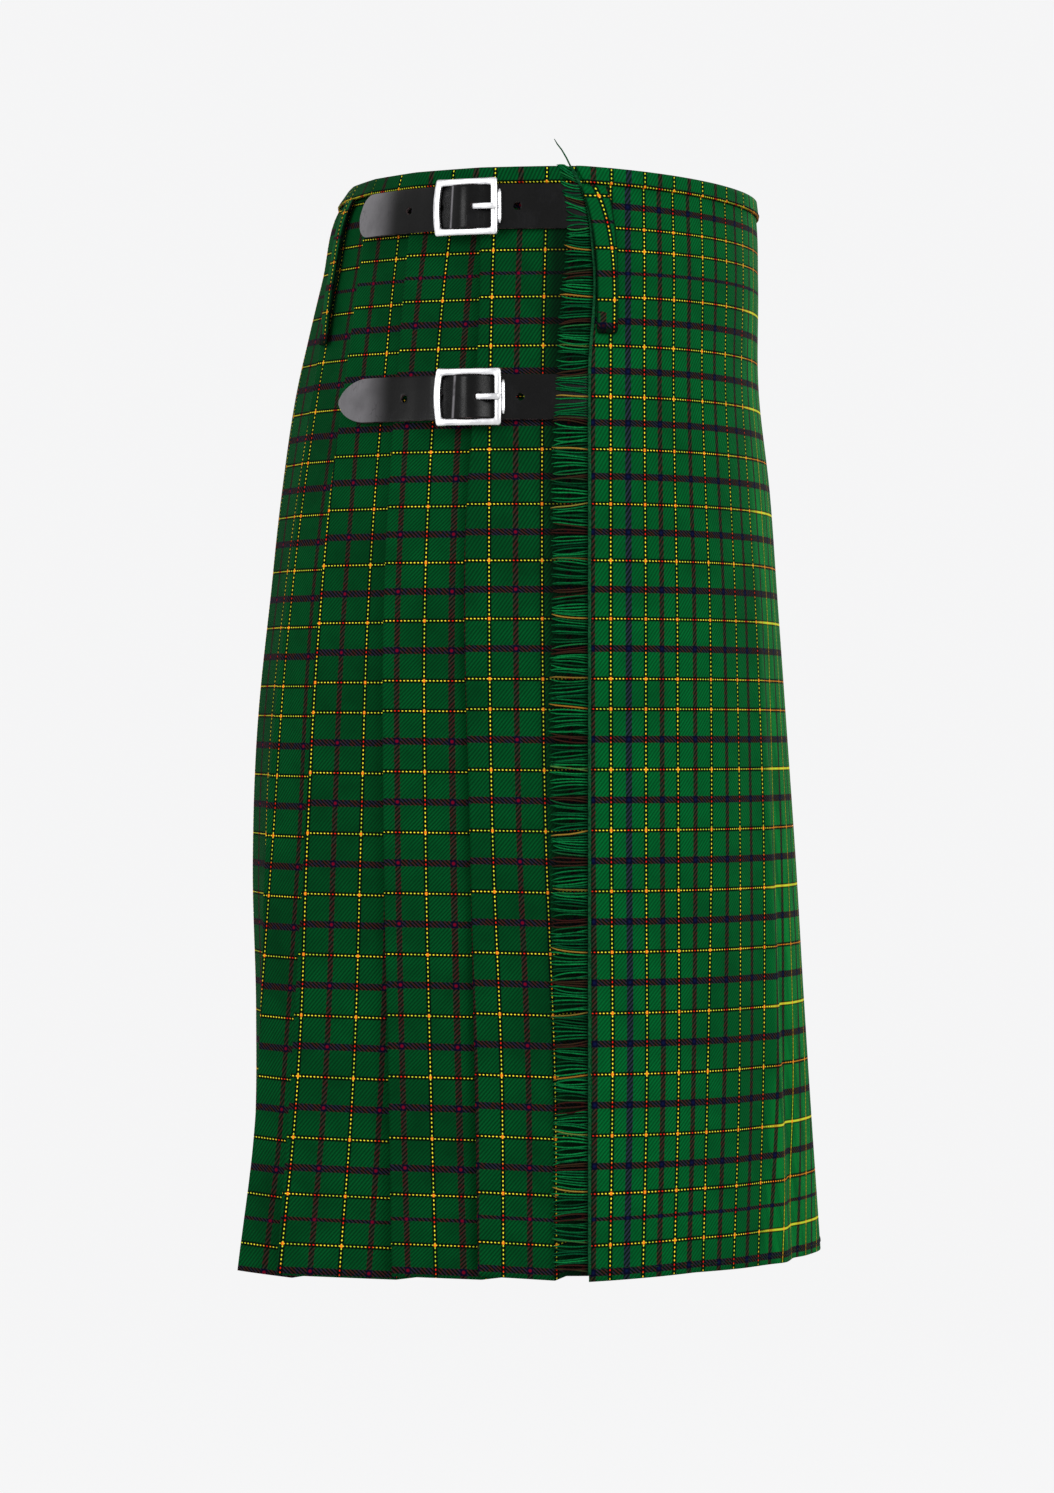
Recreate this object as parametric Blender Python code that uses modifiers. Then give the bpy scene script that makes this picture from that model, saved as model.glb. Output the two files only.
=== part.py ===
"""Scottish kilt in its worn, hollow form: two flat aprons and a knife-pleated back.

Units are metres and +Z is up. The wearer faces -Y, so the wearer's right hip is at -X. The origin is
the centre of the waist at the height of the waist straps, where the wearer holds the kilt up.

Everything is laid out on rings, one for each level of the cloth. A place on the cloth is its height,
its distance along the ring behind one of the two hip points (negative in front of it) and its
distance out of the ring. Outward is away from the wearer.
"""

import math
from typing import NamedTuple

import bmesh
import bpy
import numpy as np
from mathutils import Matrix, Vector

# ---- driving sizes ----------------------------------------------------------------------------------
CLOTH = 0.0012  # the woollen wall
GAP = 0.0003  # between pieces that touch
BAND = 0.0012  # the waistband strip
BAND_LEAN = 1.25  # the waist leans in, so the strip stands further out of its ring than off the cloth
LOOP = 0.0012  # a belt loop
STRAP = 0.0018  # a leather strap
CHAPE = 0.0010  # the leather that holds a buckle

LAYER_TOP = 0.0024  # centre to centre of two cloth layers, at the waist
LAYER_HEM = 0.0024  # and at the hem
UNDERLAY_TOP = 0.012  # how far a pleat is folded under, at the waist
UNDERLAY_HEM = 0.034  # and at the hem
FLATNESS = 0.7  # 0 bends a pleat's face with the ring, 1 makes it a straight chord
MEET = 0.010  # the over apron's left fold meets the last pleat this far behind the left hip
MOUTH = 0.0020  # half of the gap between those two folds
APRON_UNDERLAY = 0.026  # how far the over apron's left fold is turned under
UNDER_EDGE = 0.030  # the under apron's free edge, in front of the left hip
FRONT_STATIONS = 22  # along each apron, shared so that the two keep their distance
SIDE_STATIONS = 3  # from the over apron's left fold to the under apron's edge
RING_SAMPLES = 1440


class RingRow(NamedTuple):
    """One level of the cloth: its half width, its depths and how square its corners are."""

    z: float
    half_width: float
    front: float
    back: float
    front_power: float
    back_power: float
    apron_edge: float  # the fringed edge, in front of the right hip


RINGS = (
    RingRow(0.022, 0.1555, 0.1115, 0.1165, 2.0, 2.1, 0.0080),
    RingRow(0.013, 0.1570, 0.1125, 0.1225, 2.0, 2.1, 0.0125),
    RingRow(-0.030, 0.1615, 0.1136, 0.1335, 2.1, 2.2, 0.0205),
    RingRow(-0.090, 0.1725, 0.1138, 0.1475, 2.1, 2.3, 0.0180),
    RingRow(-0.150, 0.1815, 0.1203, 0.1560, 2.1, 2.6, 0.0180),
    RingRow(-0.210, 0.1875, 0.1245, 0.1620, 2.2, 3.0, 0.0180),
    RingRow(-0.280, 0.1920, 0.1295, 0.1675, 2.2, 3.5, 0.0180),
    RingRow(-0.360, 0.1960, 0.1350, 0.1680, 2.2, 4.2, 0.0180),
    RingRow(-0.440, 0.1990, 0.1395, 0.1640, 2.2, 5.0, 0.0180),
    RingRow(-0.510, 0.2015, 0.1440, 0.1630, 2.2, 6.0, 0.0180),
    RingRow(-0.578, 0.2040, 0.1490, 0.1680, 2.2, 7.5, 0.0180),
)
TOP = RINGS[0].z
BAND_FOOT = RINGS[1].z
HEM = RINGS[-1].z
HEIGHTS = [row.z for row in RINGS]


class FoldRow(NamedTuple):
    """A pleat's outer fold: its distance behind the right hip at three levels, and its kick at the hem."""

    waist: float
    seat: float
    hem: float
    kick: float


SEAT = -0.210
SIDE_FOLDS = (
    FoldRow(0.0410, 0.0410, 0.0405, 0.0015),
    FoldRow(0.0830, 0.0915, 0.0890, 0.0030),
    FoldRow(0.1260, 0.1330, 0.1540, 0.0060),
    FoldRow(0.1670, 0.1740, 0.1740, 0.0110),
)
BACK_PLEATS = 8  # evenly spread from the last side fold to the left hip
BACK_KICKS = (0.0050, 0.0040, 0.0045, 0.0040, 0.0050, 0.0090, 0.0050, 0.0000)
FRONT_DIP = 0.005  # how much lower the waist edge lies at the centre front
DIP_START = 0.13  # the share of the front's depth at which it begins to dip
CORNER_DROP = 0.003  # the over apron's fringed corner hangs this much below the hem
CORNER_REACH = 0.060
PLEAT_DROP = 0.0025  # a pleat's face hangs this much lower where it comes out from under its neighbour


class FasteningRow(NamedTuple):
    """A strap with its buckle, on one hip. Distances are behind the hip, as seen from the side."""

    name: str
    side: int
    z: float
    buckle: float
    tip: float
    tip_length: float
    tip_power: float


RIGHT = 1
LEFT = -1
FASTENINGS = (
    FasteningRow("right_waist", RIGHT, 0.000, 0.0463, 0.1060, 0.011, 2.2),
    FasteningRow("right_hip", RIGHT, -0.105, 0.0455, 0.1170, 0.022, 1.7),
    FasteningRow("left_waist", LEFT, 0.000, 0.0463, 0.1060, 0.011, 2.2),
)
STRAP_HALF_WIDTH = 0.0125
STRAP_HUMP = 0.0154  # how far from the centre bar the strap starts to rise over it
STRAP_MIDDLE = 0.0185  # either side of the centre bar the stations are close together
STRAP_EASE = 0.12  # how steeply it comes down to the cloth in front of the buckle
STRAP_FALL = 0.15  # and behind it
STRAP_SLANT = 0.012  # its front end follows the slanting edge it starts at, over this length
TIP_STEPS = 5
TIP_BLUNT = 0.12  # the tip's last width, as a share of the strap's
SLACK = 0.0002  # more room under the straps, which are straight between their stations
HOLE_RADIUS = 0.0022
HOLE_SIDES = 12
HOLE_CUT = 0.012
HOLE_PITCH = 0.0218  # along the strap, from the hole that holds the tongue
TONGUE_HOLE = -0.0054  # from the buckle's centre
TONGUE_HOLE_STRETCH = 1.35
FRAME_HALF_LENGTH = 0.0164  # to the centre of the end bars
FRAME_HALF_HEIGHT = 0.0147
FRAME_CORNER = 0.0032
FRAME_WIRE = 0.00145
FRAME_LIFT = 0.0062  # centre of the frame's bars, out of the ring
HEEL_BOW = 0.0013  # the end bar towards the strap's tip bows out
BAR_WIRE = 0.0008  # the centre bar
BAR_LIFT = 0.0043
BAR_INSET = 0.0008  # its ends stop this far inside the frame's centre line
BAR_SINK = 0.0006  # and this far below it
BAR_BEND = 0.0004  # it turns up this far inside the strap's edges
TONGUE_WIRE = 0.0010
TONGUE_TURNS = (100, 60, 20, -20, -60, -100, -140, -180)  # degrees round the centre bar
TONGUE_NECK = (-0.0046, 0.0032)  # behind the centre bar and above it
TONGUE_BEND = (-0.0086, -0.0004)  # behind the centre bar, and above where it rests on the toe bar
TONGUE_LAND = 0.0020  # it lies flat from this far inside the toe bar
TONGUE_OVERHANG = 0.0012
ROLLER_WIRE = 0.0009
ROLLER_HALF_LENGTH = 0.0095
ROLLER_SINK = 0.0004
CHAPE_HALF_WIDTH = 0.0108
CHAPE_TAIL = 0.021
CHAPE_SHARES = (1.0, 0.7, 0.45)  # stations along its tail
CHAPE_BEND = 0.0045
CHAPE_TURNS = (-80, -115, -150, -185, -220, -255, -290, -325, -360)  # degrees round the centre bar
CHAPE_SLOT = (0.0085, 0.0034, 0.010)  # along, up and through the leather, for the tongue
CHAPE_SLOT_BACK = -0.0005

LOOP_HALF_WIDTH = 0.0056
LOOP_TOP = 0.0125
LOOP_FOOT = -0.070
LOOP_FRONT = 0.0293  # the front loops' distance in front of the hips
LOOP_FRONT_TOP = 0.0215  # the right one leans towards the hip at its top
LOOP_BOW = 0.0016
LOOP_STEPS = 7
LOOP_INSET = 0.009  # the back loops lie this far inside their pleat's fold
LOOP_SLANT = 0.004  # and lean this much
LOOP_LEAN = 3.5  # how quickly the loop beside the fringe straightens below its top

STRANDS = 200
STRAND_LENGTH = 0.0165
STRAND_SHARE = 0.55  # of the pitch, at its root
STRAND_EVEN = 0.94  # its length, as a share of the longest
STRAND_UNEVEN = 0.07
STRAND_DROOP = 0.3  # of the pitch, at its tip
STRAND_CLUMP = 0.0010  # how far the tips draw together
STRAND_LIFT = 0.0006
STRAND_RUFFLE = 0.0003
STRAND_FLOOR = 0.0008  # the lowest tip is this much above the hem
FRINGE_TOP = 0.0015
FRINGE_FOOT = 0.0015
FRINGE_STRIP = 0.0020
FRINGE_THICKNESS = 0.0011

GREEN = (0.0, 0.095, 0.022)
GREEN_DARK = (0.0, 0.060, 0.014)
LEATHER = (0.012, 0.012, 0.012)
STEEL = (0.75, 0.75, 0.76)


# ---- the scene --------------------------------------------------------------------------------------
def clear_scene():
    """Removes every object and leaves the kilt's two collections: its parts and its cutters."""
    for old in list(bpy.data.objects):
        bpy.data.objects.remove(old, do_unlink=True)
    for name in ("Scottish_kilt", "Cutters"):
        collection = bpy.data.collections.new(name)
        bpy.context.scene.collection.children.link(collection)
    return bpy.data.collections["Scottish_kilt"], bpy.data.collections["Cutters"]


def material(name, colour, roughness, metallic=0.0):
    """A plain Principled material."""
    made = bpy.data.materials.new(name)
    made.use_nodes = True
    shader = made.node_tree.nodes["Principled BSDF"]
    shader.inputs["Base Color"].default_value = (*colour, 1.0)
    shader.inputs["Roughness"].default_value = roughness
    shader.inputs["Metallic"].default_value = metallic
    made.diffuse_color = (*colour, 1.0)
    return made


def add_mesh(name, bm, collection, look=None):
    """Puts a bmesh into the scene as an object with its own material."""
    mesh = bpy.data.meshes.new(name)
    bm.to_mesh(mesh)
    bm.free()
    obj = bpy.data.objects.new(name, mesh)
    collection.objects.link(obj)
    if look is not None:
        mesh.materials.append(look)
    return obj


def as_cutter(obj):
    """A helper that shapes other objects and is no piece itself."""
    obj.hide_render = True
    obj.display_type = "WIRE"
    return obj


def thicken(obj, thickness):
    """Gives an open surface its thickness, half on each side."""
    solid = obj.modifiers.new("Solidify", "SOLIDIFY")
    solid.thickness = thickness
    solid.offset = 0.0
    solid.use_even_offset = True
    return obj


def boolean(obj, other, operation):
    """Cuts or joins obj with another mesh object."""
    modifier = obj.modifiers.new("Boolean", "BOOLEAN")
    modifier.object = other
    modifier.operation = operation


def wall(name, lines, thickness, collection, look):
    """A cloth or leather wall: a surface through lines of points, then its thickness."""
    bm = bmesh.new()
    grid = [[bm.verts.new(point) for point in line] for line in lines]
    for upper, lower in zip(grid, grid[1:]):
        for i in range(len(upper) - 1):
            bm.faces.new((upper[i], upper[i + 1], lower[i + 1], lower[i]))
    bmesh.ops.recalc_face_normals(bm, faces=bm.faces)
    obj = add_mesh(name, bm, collection, look)
    return thicken(obj, thickness)


def tube(name, points, radius, collection, look, cyclic=False):
    """A round bar along a line of points, as one closed mesh."""
    curve = bpy.data.curves.new(name, "CURVE")
    curve.dimensions = "3D"
    curve.bevel_depth = radius
    curve.bevel_resolution = 2
    curve.use_fill_caps = not cyclic
    spline = curve.splines.new("POLY")
    spline.points.add(len(points) - 1)
    for point, place_at in zip(spline.points, points):
        point.co = (*place_at, 1.0)
    spline.use_cyclic_u = cyclic
    guide = bpy.data.objects.new(name + "_guide", curve)
    collection.objects.link(guide)
    graph = bpy.context.evaluated_depsgraph_get()
    graph.update()
    mesh = bpy.data.meshes.new_from_object(guide.evaluated_get(graph))
    bpy.data.objects.remove(guide, do_unlink=True)
    bm = bmesh.new()
    bm.from_mesh(mesh)
    bmesh.ops.remove_doubles(bm, verts=bm.verts, dist=1e-5)
    bmesh.ops.recalc_face_normals(bm, faces=bm.faces)
    obj = add_mesh(name, bm, collection, look)
    obj.data.shade_smooth()
    return obj


# ---- the rings --------------------------------------------------------------------------------------
class Ring:
    """The base line of the cloth at one level, measured along from the right hip round the back."""

    def __init__(self, row):
        angle = np.linspace(0.0, 2.0 * math.pi, RING_SAMPLES + 1)
        across = -np.cos(angle)
        deep = np.sin(angle)
        behind = deep >= 0.0
        power = np.where(behind, row.back_power, row.front_power)
        depth = np.where(behind, row.back, row.front)
        inside = np.abs(across / row.half_width) ** power + np.abs(deep / depth) ** power
        radius = inside ** (-1.0 / power)
        self.x = radius * across
        self.y = radius * deep
        steps = np.hypot(np.diff(self.x), np.diff(self.y))
        self.run = np.concatenate([[0.0], np.cumsum(steps)])
        self.length = self.run[-1]
        self.back_length = self.run[RING_SAMPLES // 2]

    def point(self, arc, out=0.0):
        """Plan position of a place on the ring, moved outwards."""
        step = 0.0005
        before = self._on(arc - step)
        after = self._on(arc + step)
        tangent = (after - before) / np.linalg.norm(after - before)
        normal = np.array([-tangent[1], tangent[0]])
        return self._on(arc) + out * normal

    def behind_at(self, depth):
        """The distance along the ring behind the hip at which it is this deep."""
        quarter = RING_SAMPLES // 4
        return float(np.interp(depth, self.y[:quarter], self.run[:quarter]))

    def _on(self, arc):
        arc = arc % self.length
        return np.array([np.interp(arc, self.run, self.x), np.interp(arc, self.run, self.y)])


LEVELS = [Ring(row) for row in RINGS]


def between(z):
    """The two levels that hold a height, and its share of the way down from the upper one."""
    for i in range(len(HEIGHTS) - 2):
        if z > HEIGHTS[i + 1]:
            return i, (HEIGHTS[i] - z) / (HEIGHTS[i] - HEIGHTS[i + 1])
    last = len(HEIGHTS) - 2
    return last, (HEIGHTS[last] - z) / (HEIGHTS[last] - HEIGHTS[last + 1])


def place(z, behind, out, side=RIGHT):
    """The point at a height, this far behind a hip and this far out of the ring."""
    upper, share = between(z)
    ends = []
    for ring in LEVELS[upper : upper + 2]:
        arc = behind if side == RIGHT else ring.back_length - behind
        ends.append(ring.point(arc, out))
    x, y = ends[0] * (1.0 - share) + ends[1] * share
    return Vector((x, y, z))


def behind_at(z, depth):
    """The distance along the cloth behind a hip that looks this deep from the side."""
    upper, share = between(z)
    return LEVELS[upper].behind_at(depth) * (1.0 - share) + LEVELS[upper + 1].behind_at(depth) * share


def down(z):
    """How far down the kilt a height is, 0 at the waist and 1 at the hem."""
    return (TOP - z) / (TOP - HEM)


def layer_at(z):
    return LAYER_TOP + (LAYER_HEM - LAYER_TOP) * down(z)


def apron_edge_at(z):
    return float(np.interp(-z, [-row.z for row in RINGS], [row.apron_edge for row in RINGS]))


# ---- the cloth --------------------------------------------------------------------------------------
def folds_at(level):
    """The outer folds at a level: (distance along the ring from the right hip, kick outwards)."""
    z = HEIGHTS[level]
    ring = LEVELS[level]
    heights = (-TOP, -SEAT, -HEM)
    side = [float(np.interp(-z, heights, (row.waist, row.seat, row.hem))) for row in SIDE_FOLDS]
    last = ring.back_length - MEET - MOUTH
    back = np.linspace(side[-1], last, BACK_PLEATS + 1)[1:]
    kicks = [row.kick for row in SIDE_FOLDS] + list(BACK_KICKS)
    return [(arc, kick * loose_at(z)) for arc, kick in zip(side + list(back), kicks)]


class PleatFace:
    """The face of one knife pleat in plan, from the fold before it to its own outer fold."""

    def __init__(self, ring, start, end, sunk, kick):
        self.ring = ring
        self.start = start
        self.end = end
        self.sunk = sunk
        self.kick = kick
        self.first = ring.point(start, -sunk)
        self.last = ring.point(end, kick)

    def at(self, share, inward=0.0):
        """A point at a share of the face's width, moved in towards the wearer."""
        spot = self._on(share)
        tangent = self._on(share + 0.01) - self._on(share - 0.01)
        tangent = tangent / np.linalg.norm(tangent)
        normal = np.array([-tangent[1], tangent[0]])
        return spot - inward * normal

    def turn(self, share, inward, reach):
        """The tip of a fold: inward from the face and beyond it along its run."""
        tangent = self._on(share + 0.01) - self._on(share - 0.01)
        return self.at(share, inward) + reach * tangent / np.linalg.norm(tangent)

    def _on(self, share):
        arc = self.start + (self.end - self.start) * share
        out = -self.sunk + (self.sunk + self.kick) * share
        bent = self.ring.point(arc, out)
        chord = self.first + (self.last - self.first) * share
        return bent * (1.0 - FLATNESS) + chord * FLATNESS


def underlay_share(z, width):
    """The share of a pleat's face that lies over its own underlay."""
    depth = UNDERLAY_TOP + (UNDERLAY_HEM - UNDERLAY_TOP) * down(z) ** 1.5
    return min(depth, 0.8 * width) / width


def loose_at(z):
    """How freely the pleats hang: 0 down to the seat, where they are sewn, and 1 at the hem."""
    return max(0.0, (SEAT - z) / (SEAT - HEM)) ** 1.3


def face_points(face, z):
    """The points across a pleat's face, from under its neighbour to its outer fold."""
    return [at_drop(face.at(share), z, 1.0 - share) for share in (0.0, 0.5, 1.0)]


def fold_under(face, z, layer):
    """The points of a fold: round its outer edge, back under, and round the inner fold."""
    share = underlay_share(z, face.end - face.start)
    root = 1.0 - share
    return [
        at_drop(face.turn(1.0, 0.5 * layer, 0.5 * layer), z, 0.0),
        at_drop(face.at(1.0, layer), z, 0.0),
        at_drop(face.at(root, layer), z, share),
        at_drop(face.turn(root, 1.5 * layer, -0.5 * layer), z, share),
    ]


def inner_start(face, z, layer, skip=0.0):
    """The point just past the inner fold, where the next pleat's cloth begins."""
    width = face.end - face.start
    share = underlay_share(z, width)
    return at_drop(face.at(1.0 - share + skip / width, 2.0 * layer), z, share)


def first_face(level):
    """The flat face at the right hip, from the hip point to the first fold."""
    arc, kick = folds_at(level)[0]
    return PleatFace(LEVELS[level], 0.0, arc, 0.0, kick)


def front_arcs(level):
    """The stations that both aprons share, from the under apron's edge to the fringed edge."""
    ring = LEVELS[level]
    fringed = ring.length - RINGS[level].apron_edge
    return np.linspace(ring.back_length + UNDER_EDGE, fringed, FRONT_STATIONS)


def over_arcs(level):
    """The over apron's stations, from its left fold to its fringed edge."""
    ring = LEVELS[level]
    fold = ring.back_length - MEET + MOUTH
    side = np.linspace(fold, ring.back_length + UNDER_EDGE, SIDE_STATIONS)[:-1]
    return [*side, *front_arcs(level)]


def at_height(points, level):
    """Plan points put at a level, whose top rows dip towards the centre front."""
    row = RINGS[level]
    dip = FRONT_DIP if row.z >= BAND_FOOT else 0.0
    line = []
    for x, y in points:
        share = (-y / row.front - DIP_START) / (1.0 - DIP_START)
        line.append(Vector((x, y, row.z - dip * max(0.0, share))))
    return line


def at_drop(spot, z, share):
    """A plan point of a pleat put at its height, with its share of the pleats' drop."""
    return Vector((spot[0], spot[1], z - PLEAT_DROP * share * loose_at(z)))


def under_apron_line(level):
    """From the free left edge across the front, over the right hip and round the first fold."""
    ring = LEVELS[level]
    z = HEIGHTS[level]
    face = first_face(level)
    across = at_height([ring.point(arc) for arc in front_arcs(level)], level)
    return [*across, *face_points(face, z), *fold_under(face, z, layer_at(z))]


def pleated_back_line(level):
    """From the first inner fold, through each knife pleat, to the seam under the last one."""
    ring = LEVELS[level]
    z = HEIGHTS[level]
    layer = layer_at(z)
    folds = folds_at(level)
    points = [inner_start(first_face(level), z, layer, skip=GAP + 0.5 * CLOTH)]
    for (before, _), (arc, kick) in zip(folds, folds[1:]):
        face = PleatFace(ring, before, arc, 2.0 * layer, kick)
        points += face_points(face, z)
        points += fold_under(face, z, layer)
        points.append(inner_start(face, z, layer))
    points.append(at_drop(ring.point(ring.back_length - MEET, -2.0 * layer), z, 0.0))
    return points


def over_apron_line(level):
    """From the seam in the left inverted pleat, round its fold and across the front to the fringe."""
    ring = LEVELS[level]
    z = HEIGHTS[level]
    layer = layer_at(z)
    meet = ring.back_length - MEET
    root = meet + APRON_UNDERLAY
    fold = meet + MOUTH
    points = [
        ring.point(meet + 2.5 * GAP, -2.0 * layer),
        ring.point(root, -layer),
        ring.point(root + 0.5 * layer, -0.5 * layer),
        ring.point(root, 0.0),
        ring.point(fold, 0.0),
        ring.point(fold - 0.5 * layer, 0.5 * layer),
    ]
    points += [ring.point(arc, layer) for arc in over_arcs(level)]
    line = at_height(points, level)
    if level == len(RINGS) - 1:
        for point in line[-FRONT_STATIONS:]:
            near = 1.0 - (point - line[-1]).length / CORNER_REACH
            point.z -= CORNER_DROP * max(0.0, near)
    return line


def apron_band_line(level):
    """The waistband along the over apron, from its left fold to just short of the fringe."""
    ring = LEVELS[level]
    layer = layer_at(HEIGHTS[level])
    end = ring.length - RINGS[level].apron_edge - FRINGE_STRIP - 3.0 * GAP
    out = layer + 0.5 * CLOTH + GAP + 0.5 * BAND
    points = [ring.point(arc, out) for arc in [*over_arcs(level)[:-1], end]]
    return at_height(points, level)


def back_band_line(level):
    """The waistband along the back, from the over apron's fringed edge to its left fold."""
    ring = LEVELS[level]
    out = (0.5 * CLOTH + GAP + 0.5 * BAND) * BAND_LEAN
    start = -RINGS[level].apron_edge + 2.0 * GAP + 0.5 * CLOTH
    points = [ring.point(start, out)]
    before = 0.0
    for arc, kick in folds_at(level):
        face = PleatFace(ring, before, arc, 0.0, kick)
        points += [face.at(share, -out) for share in (0.0, 0.5)]
        before = arc
    points.append(face.at(1.0, -out))
    return at_height(points, level)


def make_cloth(parts):
    """The two aprons, the pleated back and the waistband strips."""
    levels = range(len(RINGS))
    band_levels = (0, 1)
    pieces = (
        ("under_apron", under_apron_line, levels, CLOTH, GREEN_DARK),
        ("pleated_back", pleated_back_line, levels, CLOTH, GREEN),
        ("over_apron", over_apron_line, levels, CLOTH, GREEN),
        ("waistband_apron", apron_band_line, band_levels, BAND, GREEN_DARK),
        ("waistband_back", back_band_line, band_levels, BAND, GREEN_DARK),
    )
    for name, line, rows, thickness, colour in pieces:
        look = material(name, colour, 0.85)
        wall(name, [line(level) for level in rows], thickness, parts, look)


# ---- belt loops -------------------------------------------------------------------------------------
def belt_loop(name, side, top, foot, high, seat_out, parts):
    """A strip of cloth sewn on at its two ends and bowed out a little between them."""
    rows = []
    for z in np.linspace(high, LOOP_FOOT, LOOP_STEPS):
        share = (high - z) / (high - LOOP_FOOT)
        centre = foot + (top - foot) * (1.0 - share) ** LOOP_LEAN
        out = seat_out(z) + 0.5 * CLOTH + GAP + 0.5 * LOOP + LOOP_BOW * math.sin(math.pi * share)
        rows.append([place(z, centre + edge * LOOP_HALF_WIDTH, out, side) for edge in (-1, 0, 1)])
    wall(name, rows, LOOP, parts, material(name, GREEN, 0.85))


def make_belt_loops(parts):
    """Two loops on the over apron and two on the pleated back."""
    waist_folds = [arc for arc, _ in folds_at(1)]
    right = waist_folds[3] - LOOP_INSET
    left = LEVELS[1].back_length - waist_folds[7] + LOOP_INSET

    def on_back(_z):
        return 0.0

    dipped = LOOP_TOP - FRONT_DIP * LOOP_FRONT / RINGS[1].front - 0.5 * GAP
    belt_loop("belt_loop_front_right", RIGHT, -LOOP_FRONT_TOP, -LOOP_FRONT, dipped, layer_at, parts)
    belt_loop("belt_loop_front_left", LEFT, -LOOP_FRONT, -LOOP_FRONT, dipped, layer_at, parts)
    belt_loop("belt_loop_back_right", RIGHT, right, right + LOOP_SLANT, LOOP_TOP, on_back, parts)
    belt_loop("belt_loop_back_left", LEFT, left, left + LOOP_SLANT, LOOP_TOP, on_back, parts)


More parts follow.
